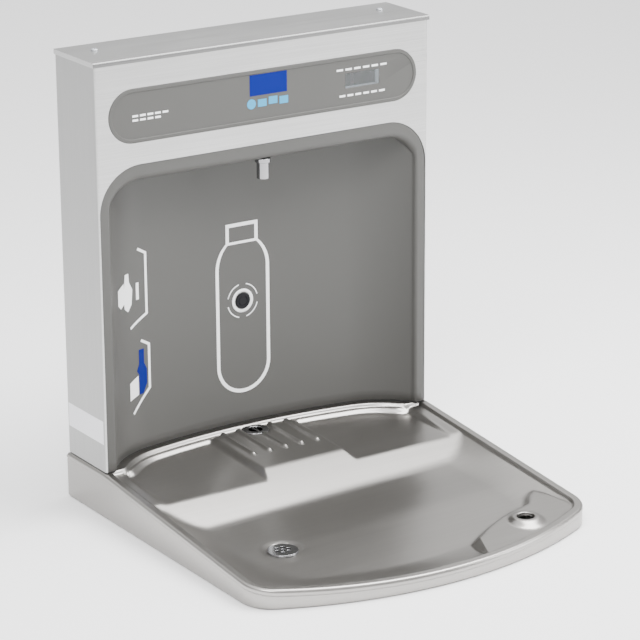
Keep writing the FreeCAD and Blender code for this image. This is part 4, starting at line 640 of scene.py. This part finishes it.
def build_pan():
    """The stamped pan: a grid laid over the plan, raised to the pan's surface, with a hemmed skirt.

    The grid's lines stand closest where the surface bends most. The front rows bow with the outline,
    the rear ones follow the alcove's wall, and the points next to the bubbler's hole lie on its edge.
    """
    meet_x = CORNER_X + CORNER_RADIUS * math.cos(CORNER_AIM / 2)
    meet_y = CORNER_Y - CORNER_RADIUS * math.sin(CORNER_AIM / 2)
    right = spaced([(0.0, 0), (72.0, 1.75), (116.0, 3.4), (176.0, 2.0), (211.0, 3.0), (HALF_X, 1.05)])
    left = spaced([(0.0, 0), (72.0, 1.75), (211.0, 3.4), (HALF_X, 1.05)])
    columns = np.concatenate([-left[::-1], right[1:]])
    rows = spaced([(meet_y, 0), (meet_y + 12, 0.62), (-118.0, 2.2), (0.0, 4.2), (24.0, 2.4), (50.0, 3.7),
                   (64.0, 1.6), (78.0, 2.4), (90.0, 1.5), (190.0, 2.6), (206.0, 1.1), (HALF_Y - 6.0, 4.0),
                   (HALF_Y, 0.8)])
    bm = bmesh.new()
    bmesh.ops.create_grid(bm, x_segments=len(columns) - 1, y_segments=len(rows) - 1, size=1.0)
    bm.verts.ensure_lookup_table()
    col = np.array([round((v.co.x + 1) / 2 * (len(columns) - 1)) for v in bm.verts])
    row = np.array([round((v.co.y + 1) / 2 * (len(rows) - 1)) for v in bm.verts])
    widths = np.array([half_width_at(y) for y in rows])
    fronts = np.array([front_edge_at(x * meet_x / HALF_X) for x in columns])
    pull = (1.0 - (rows - meet_y) / (HALF_Y - meet_y)) ** 4
    x = columns[col] * widths[row] / HALF_X
    y = rows[row] + pull[row] * (fronts[col] - meet_y)
    bend = np.minimum(NICHE_BACK[1] + NICHE_BACK[2] - niche_wall_at(x), BEND_LIMIT)
    y = y - bend * np.interp(y, BEND_ROWS, BEND_SHARES)
    reach = np.hypot(x - BUBBLER[0], y - BUBBLER[1])
    near = (reach < BUBBLER_HOLE + HOLE_SNAP) & (reach > 0.01)
    x = np.where(near, BUBBLER[0] + (x - BUBBLER[0]) * BUBBLER_HOLE / np.maximum(reach, 0.01), x)
    y = np.where(near, BUBBLER[1] + (y - BUBBLER[1]) * BUBBLER_HOLE / np.maximum(reach, 0.01), y)
    z = pan_height(x, y)
    for v, px, py, pz in zip(bm.verts, x, y, z):
        v.co = (px, py, pz)
    outer = [e for e in bm.edges if e.is_boundary]

    cut = []
    for face in bm.faces:
        if all(near[v.index] for v in face.verts):
            cut.append(face)
            continue
        centre = face.calc_center_median()
        for hole, radius, *_ in DRAINS:
            if math.hypot(centre.x - hole[0], centre.y - hole[1]) < radius:
                cut.append(face)
    bmesh.ops.delete(bm, geom=cut, context="FACES")
    throat = [e for e in bm.edges if e.is_boundary and all(
        abs(math.hypot(v.co.x - BUBBLER[0], v.co.y - BUBBLER[1]) - BUBBLER_HOLE) < 0.05 for v in e.verts)]

    def turned_down(p, step):
        radius, drop = step
        return Vector((BUBBLER[0] + (p.x - BUBBLER[0]) * radius / BUBBLER_HOLE,
                       BUBBLER[1] + (p.y - BUBBLER[1]) * radius / BUBBLER_HOLE, p.z - drop))

    grow_edge(bm, throat, ((10.6, 0.5), (10.4, 1.2), (10.4, 4.0)), turned_down)

    hem = sizes().hem_set_back / MM

    def skirt(p, step):
        inset, drop, level = step
        flat = Vector((p.x, p.y, 0)) - outline_heading(p) * inset
        flat.x = max(-HALF_X + inset, min(HALF_X - inset, flat.x))
        flat.y = min(HALF_Y - inset, flat.y)
        flat.z = p.z - drop if level is None else level
        return flat

    # Each step is (set-back, drop below the edge, or else the height above the floor).
    steps = [(0.0, 2.0, None), (0.15, 2.8, None), (hem + 0.2, 3.2, None), (hem + 0.2, 3.6, None),
             (hem, 4.0, None), (hem, 5.0, None), (hem, 0.0, 3.2), (hem + 0.9, 0.0, 0.9),
             (hem + 3.2, 0.0, 0.0), (14.0, 0.0, 0.0)]
    grow_edge(bm, outer, steps, skirt)
    bmesh.ops.remove_doubles(bm, verts=bm.verts, dist=0.02)
    bmesh.ops.dissolve_degenerate(bm, dist=0.02, edges=bm.edges)
    piece = finish_piece(bm, "basin_pan", "stainless_basin", stands_for=("basin",), sharp=55.0)
    sheet_thickness(piece, sizes().pan_sheet)
    return piece


# ---------------------------------------------------------------- the alcove
def alcove_plan(count_back, count_side, mouth_y):
    """Points of the alcove's wall from the left mouth to the right one."""
    bx, by, br = NICHE_BACK
    sx, sy, sr = NICHE_SIDE
    joint = math.atan2(sy - by, sx)
    mouth = math.asin((mouth_y - sy) / sr)
    right = [(sx + sr * math.cos(a), sy + sr * math.sin(a)) for a in np.linspace(mouth, joint, count_side)]
    turns = np.linspace(joint, math.pi / 2, count_back)
    turn = [(bx + br * math.cos(a), by + br * math.sin(a)) for a in turns]
    half = right + turn[1:]
    return [(-x, y) for x, y in half] + [p for p in half[::-1][1:]]


def arch_height(x, half, top, radius):
    over = abs(x) - (half - radius)
    if over <= 0:
        return top
    return top - radius + math.sqrt(max(0.0, radius ** 2 - over ** 2))


def build_alcove():
    """Curved back wall, ceiling and rolled lip of the alcove in one moulded shell."""
    brow = sizes().brow_depth / MM
    plan = alcove_plan(40, 26, PANEL_Y + LIP_SIDE_DEPTH)
    rows = 26
    bm = bmesh.new()
    bmesh.ops.create_grid(bm, x_segments=len(plan) - 1, y_segments=rows, size=1.0)
    half = NICHE_HALF + 0.15
    for v in bm.verts:
        px, py = plan[round((v.co.x + 1) / 2 * (len(plan) - 1))]
        share = (v.co.y + 1) / 2
        top = arch_height(px, half, NICHE_TOP, NICHE_CORNER)
        v.co = (px, py, FOOT_Z + (top - FOOT_Z) * share)
    crown = [e for e in bm.edges if e.is_boundary and all(
        abs(v.co.z - arch_height(v.co.x, half, NICHE_TOP, NICHE_CORNER)) < 0.01 for v in e.verts)]

    def brow_at(z):
        """The lip rolls back further at the top than at the sides."""
        share = float(ease(np.array((z - BROW_START_Z) / BROW_SPAN)))
        return LIP_SIDE_DEPTH + (brow - LIP_SIDE_DEPTH) * share

    def ceiling(p, step):
        mouth_y = PANEL_Y + brow_at(p.z)
        return Vector((p.x, p.y + (min(mouth_y, p.y) - p.y) * step, p.z))

    crown = grow_edge(bm, crown, [0.2, 0.4, 0.6, 0.8, 1.0], ceiling)
    bmesh.ops.remove_doubles(bm, verts=bm.verts, dist=0.02)
    mouth = [e for e in bm.edges if e.is_boundary and not all(abs(v.co.z - FOOT_Z) < 0.01 for v in e.verts)]

    def lip(p, step):
        side = 1.0 if p.x >= 0 else -1.0
        ax = abs(p.x)
        cx, cz = half - NICHE_CORNER, NICHE_TOP - NICHE_CORNER
        ox, oz = OPENING_HALF - OPENING_RADIUS, OPENING_TOP - OPENING_RADIUS
        if p.z <= cz:
            rim = Vector((OPENING_HALF, 0, FOOT_Z + (p.z - FOOT_Z) * (oz - FOOT_Z) / (cz - FOOT_Z)))
        elif ax <= cx:
            rim = Vector((ax * ox / cx, 0, OPENING_TOP))
        else:
            angle = math.atan2(p.z - cz, ax - cx)
            rim = Vector((ox + OPENING_RADIUS * math.cos(angle), 0, oz + OPENING_RADIUS * math.sin(angle)))
        rim.x *= side
        depth = p.y - PANEL_Y
        start = Vector((p.x, 0, p.z))
        reach = (rim - start).length
        roll = min(depth, reach * 0.75)
        toward = (rim - start).normalized()
        kind, amount = step
        if kind == "roll":
            spot = start + toward * roll * (1 - math.cos(amount))
            return Vector((spot.x, PANEL_Y + depth * (1 - math.sin(amount)), spot.z))
        if kind == "band":
            spot = start + toward * (roll + (reach - roll) * amount)
            return Vector((spot.x, PANEL_Y, spot.z))
        return Vector((rim.x, PANEL_Y + amount, rim.z))

    quarter = [("roll", math.radians(a)) for a in (12, 25, 40, 55, 70, 82, 90)]
    grow_edge(bm, mouth, quarter + [("band", 0.5), ("band", 0.95), ("edge", 0.5), ("edge", 2.0)], lip)
    bmesh.ops.remove_doubles(bm, verts=bm.verts, dist=0.01)
    bmesh.ops.recalc_face_normals(bm, faces=bm.faces)
    back = max(bm.faces, key=lambda f: f.calc_center_median().y)
    if back.normal.y > 0:
        bmesh.ops.reverse_faces(bm, faces=bm.faces)
    piece = finish_piece(bm, "alcove", "grey_plastic", stands_for=("alcove_shell",), sharp=35.0)
    sheet_thickness(piece, sizes().shell_wall)
    return piece


def build_sensor_rings():
    """Printed ring and four thin arcs round the sensor, laid on the alcove's curved wall."""
    bm = bmesh.new()
    bands = [SENSOR_RING + (0.0, 360.0, 72)]
    bands += [SENSOR_ARC + (turn, turn + ARC_SWEEP, 16) for turn in ARC_STARTS]
    for near, far, start, end, count in bands:
        before = set(bm.verts)
        bmesh.ops.create_grid(bm, x_segments=count, y_segments=2, size=1.0)
        for v in set(bm.verts) - before:
            angle = math.radians(start + (end - start) * (v.co.x + 1) / 2)
            radius = near + (far - near) * (v.co.y + 1) / 2
            x = radius * math.cos(angle)
            wall_y = float(niche_wall_at(np.array(x)))
            v.co = (x, wall_y - PRINT_STANDOFF, SENSOR_Z + radius * math.sin(angle))
    bmesh.ops.remove_doubles(bm, verts=bm.verts, dist=0.01)
    bm.normal_update()
    for face in bm.faces:
        if face.normal.y > 0:
            face.normal_flip()
    piece = finish_piece(bm, "sensor_rings", "white_print", sharp=35.0)
    sheet_thickness(piece, PRINT_THICKNESS)
    return piece


# ---------------------------------------------------------------- studio
def area_light(name, place, aim, size, power):
    lamp = bpy.data.lights.new(name, "AREA")
    lamp.shape = "RECTANGLE"
    lamp.size, lamp.size_y = size
    lamp.energy = power
    made = bpy.data.objects.new(name, lamp)
    bpy.context.scene.collection.objects.link(made)
    made.location = place
    made.rotation_euler = (Vector(aim) - Vector(place)).to_track_quat("-Z", "Y").to_euler()


def build_stage():
    scene = bpy.context.scene
    bm = bmesh.new()
    bmesh.ops.create_grid(bm, x_segments=2, y_segments=2, size=FLOOR_HALF)
    mesh = bpy.data.meshes.new("studio_floor")
    bm.to_mesh(mesh)
    bm.free()
    floor = bpy.data.objects.new("studio_floor", mesh)
    scene.collection.objects.link(floor)
    mesh.materials.append(moulding("Studio Floor", colours().floor, 0.85, 0.0, 300.0, 0.0))

    world = bpy.data.worlds.new("Studio")
    scene.world = world
    world.use_nodes = True
    tree = world.node_tree
    sky = tree.nodes["Background"]
    sky.inputs["Strength"].default_value = SKY_STRENGTH
    way = tree.nodes.new("ShaderNodeTexCoord")
    split = tree.nodes.new("ShaderNodeSeparateXYZ")
    link(tree, way.outputs["Generated"], split.inputs[0])
    ramp = tree.nodes.new("ShaderNodeValToRGB")
    ramp.color_ramp.elements.new(0.5)
    for stop, (place, grey) in zip(ramp.color_ramp.elements, SKY_STOPS):
        stop.position = place
        stop.color = (grey, grey, grey, 1)
    link(tree, split.outputs["Z"], ramp.inputs["Fac"])
    link(tree, ramp.outputs["Color"], sky.inputs["Color"])

    for light in LIGHTS:
        area_light(*light)

    camera = bpy.data.cameras.new("Studio Camera")
    camera.lens = sizes().camera_lens
    camera.sensor_width = 36.0
    camera.shift_x, camera.shift_y = CAMERA_SHIFT
    camera.clip_end = 60.0
    view = bpy.data.objects.new("Studio Camera", camera)
    scene.collection.objects.link(view)
    turn = Matrix((CAMERA_RIGHT, CAMERA_UP, CAMERA_BACK)).transposed().to_4x4()
    view.matrix_world = Matrix.Translation(CAMERA_PLACE) @ turn
    scene.camera = view


# ---------------------------------------------------------------- operators
class FOUNTAIN_OT_pan(bpy.types.Operator):
    """Stamped steel basin with its hemmed skirt"""
    bl_idname = "fountain.pan"
    bl_label = "Basin pan"

    def execute(self, context):
        build_pan()
        return {"FINISHED"}


class FOUNTAIN_OT_alcove(bpy.types.Operator):
    """Moulded alcove that the bottle stands in"""
    bl_idname = "fountain.alcove"
    bl_label = "Alcove"

    def execute(self, context):
        build_alcove()
        return {"FINISHED"}


class FOUNTAIN_OT_tower(bpy.types.Operator):
    """Sheet steel tower, its cover, screws and side label"""
    bl_idname = "fountain.tower"
    bl_label = "Tower sheets"

    def execute(self, context):
        # The wrapper's two sides get a darker copy of the tower steel, painted shade, and their grain stands
        # upright.
        wrapper = refine("tower_wrapper", "stainless_tower", sizes().sheet_bend)
        wrapper.data.materials.append(finish("stainless_side"))
        for face in wrapper.data.polygons:
            if abs(face.normal.x) > 0.8:
                face.material_index = 1
        # The cover's bent front edge gets a darker copy of the tower steel: painted shade on the bend.
        cover = refine("top_cover", "stainless_tower", sizes().sheet_bend)
        cover.data.materials.append(finish("stainless_bend"))
        for face in cover.data.polygons:
            if face.normal.y < -0.2 and face.center.z > 0.5:
                face.material_index = 1
        refine("cover_screws", "zinc_steel", 0.0003)
        refine("side_label", "label_pale", 0.0)
        return {"FINISHED"}


class FOUNTAIN_OT_display(bpy.types.Operator):
    """Display surround with its window, badge and print"""
    bl_idname = "fountain.display"
    bl_label = "Display pill"

    def execute(self, context):
        refine("pill_bezel", "grey_plastic", 0.0007)
        refine("display_lcd", "lcd_grey", 0.0)
        refine("display_window", "clear_window", 0.0, paint=clear_window_material())
        refine("pill_badge", "blue_print", 0.0)
        refine("pill_mark", "cyan_print", 0.0)
        refine("pill_dashes", "white_print", 0.0)
        return {"FINISHED"}


class FOUNTAIN_OT_signs(bpy.types.Operator):
    """Printed bottle outline and the two signs on the alcove's wall"""
    bl_idname = "fountain.signs"
    bl_label = "Printed signs"

    def execute(self, context):
        build_sensor_rings()
        refine("bottle_outline", "white_print", 0.0)
        refine("sign_prints_white", "white_print", 0.0)
        refine("sign_print_blue", "blue_print", 0.0)
        return {"FINISHED"}


class FOUNTAIN_OT_fittings(bpy.types.Operator):
    """Filling nozzle, bottle sensor and the two drains"""
    bl_idname = "fountain.fittings"
    bl_label = "Fittings"

    def execute(self, context):
        refine("nozzle", "chrome", 0.0004)
        refine("sensor_lens", "lens_black", 0.0005)
        refine("sensor_bezel", "lens_black", 0.0004)
        for node in ("deck_drain_body", "deck_drain_grate", "bowl_drain_body", "bowl_drain_strainer"):
            refine(node, "chrome", 0.0003)
        return {"FINISHED"}


class FOUNTAIN_OT_inner_parts(bpy.types.Operator):
    """Finishes of the parts behind the panels"""
    bl_idname = "fountain.inner_parts"
    bl_label = "Inner parts"

    def execute(self, context):
        for slot, names in INNER_FINISHES.items():
            for name in names:
                NODES[name].data.materials.clear()
                NODES[name].data.materials.append(finish(slot))
        coil = refine("valve_spring", "zinc_steel", 0.0)
        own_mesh(coil)
        return {"FINISHED"}


class FOUNTAIN_OT_stage(bpy.types.Operator):
    """Pale floor, soft lights and camera"""
    bl_idname = "fountain.stage"
    bl_label = "Studio"

    def execute(self, context):
        build_stage()
        return {"FINISHED"}


class FOUNTAIN_PT_sidebar(bpy.types.Panel):
    bl_idname = "FOUNTAIN_PT_sidebar"
    bl_label = "Bottle Filling Fountain"
    bl_space_type = "VIEW_3D"
    bl_region_type = "UI"
    bl_category = "Fountain"

    def draw(self, context):
        layout = self.layout
        for group in (context.scene.fountain_sizes, context.scene.fountain_colours):
            for key in group.__annotations__:
                layout.prop(group, key)
        for operator in BUILD_ORDER:
            layout.operator(operator.bl_idname)


BUILD_ORDER = (FOUNTAIN_OT_pan, FOUNTAIN_OT_alcove, FOUNTAIN_OT_tower, FOUNTAIN_OT_display, FOUNTAIN_OT_signs,
               FOUNTAIN_OT_fittings, FOUNTAIN_OT_inner_parts, FOUNTAIN_OT_stage)
CLASSES = (FountainSizes, FountainColours) + BUILD_ORDER + (FOUNTAIN_PT_sidebar,)


def register():
    for cls in CLASSES:
        bpy.utils.register_class(cls)
    bpy.types.Scene.fountain_sizes = bpy.props.PointerProperty(type=FountainSizes)
    bpy.types.Scene.fountain_colours = bpy.props.PointerProperty(type=FountainColours)


def unregister():
    del bpy.types.Scene.fountain_colours
    del bpy.types.Scene.fountain_sizes
    for cls in reversed(CLASSES):
        bpy.utils.unregister_class(cls)


def main():
    register()
    for operator in BUILD_ORDER:
        group, name = operator.bl_idname.split(".")
        getattr(getattr(bpy.ops, group), name)()


if __name__ == "__main__":
    main()
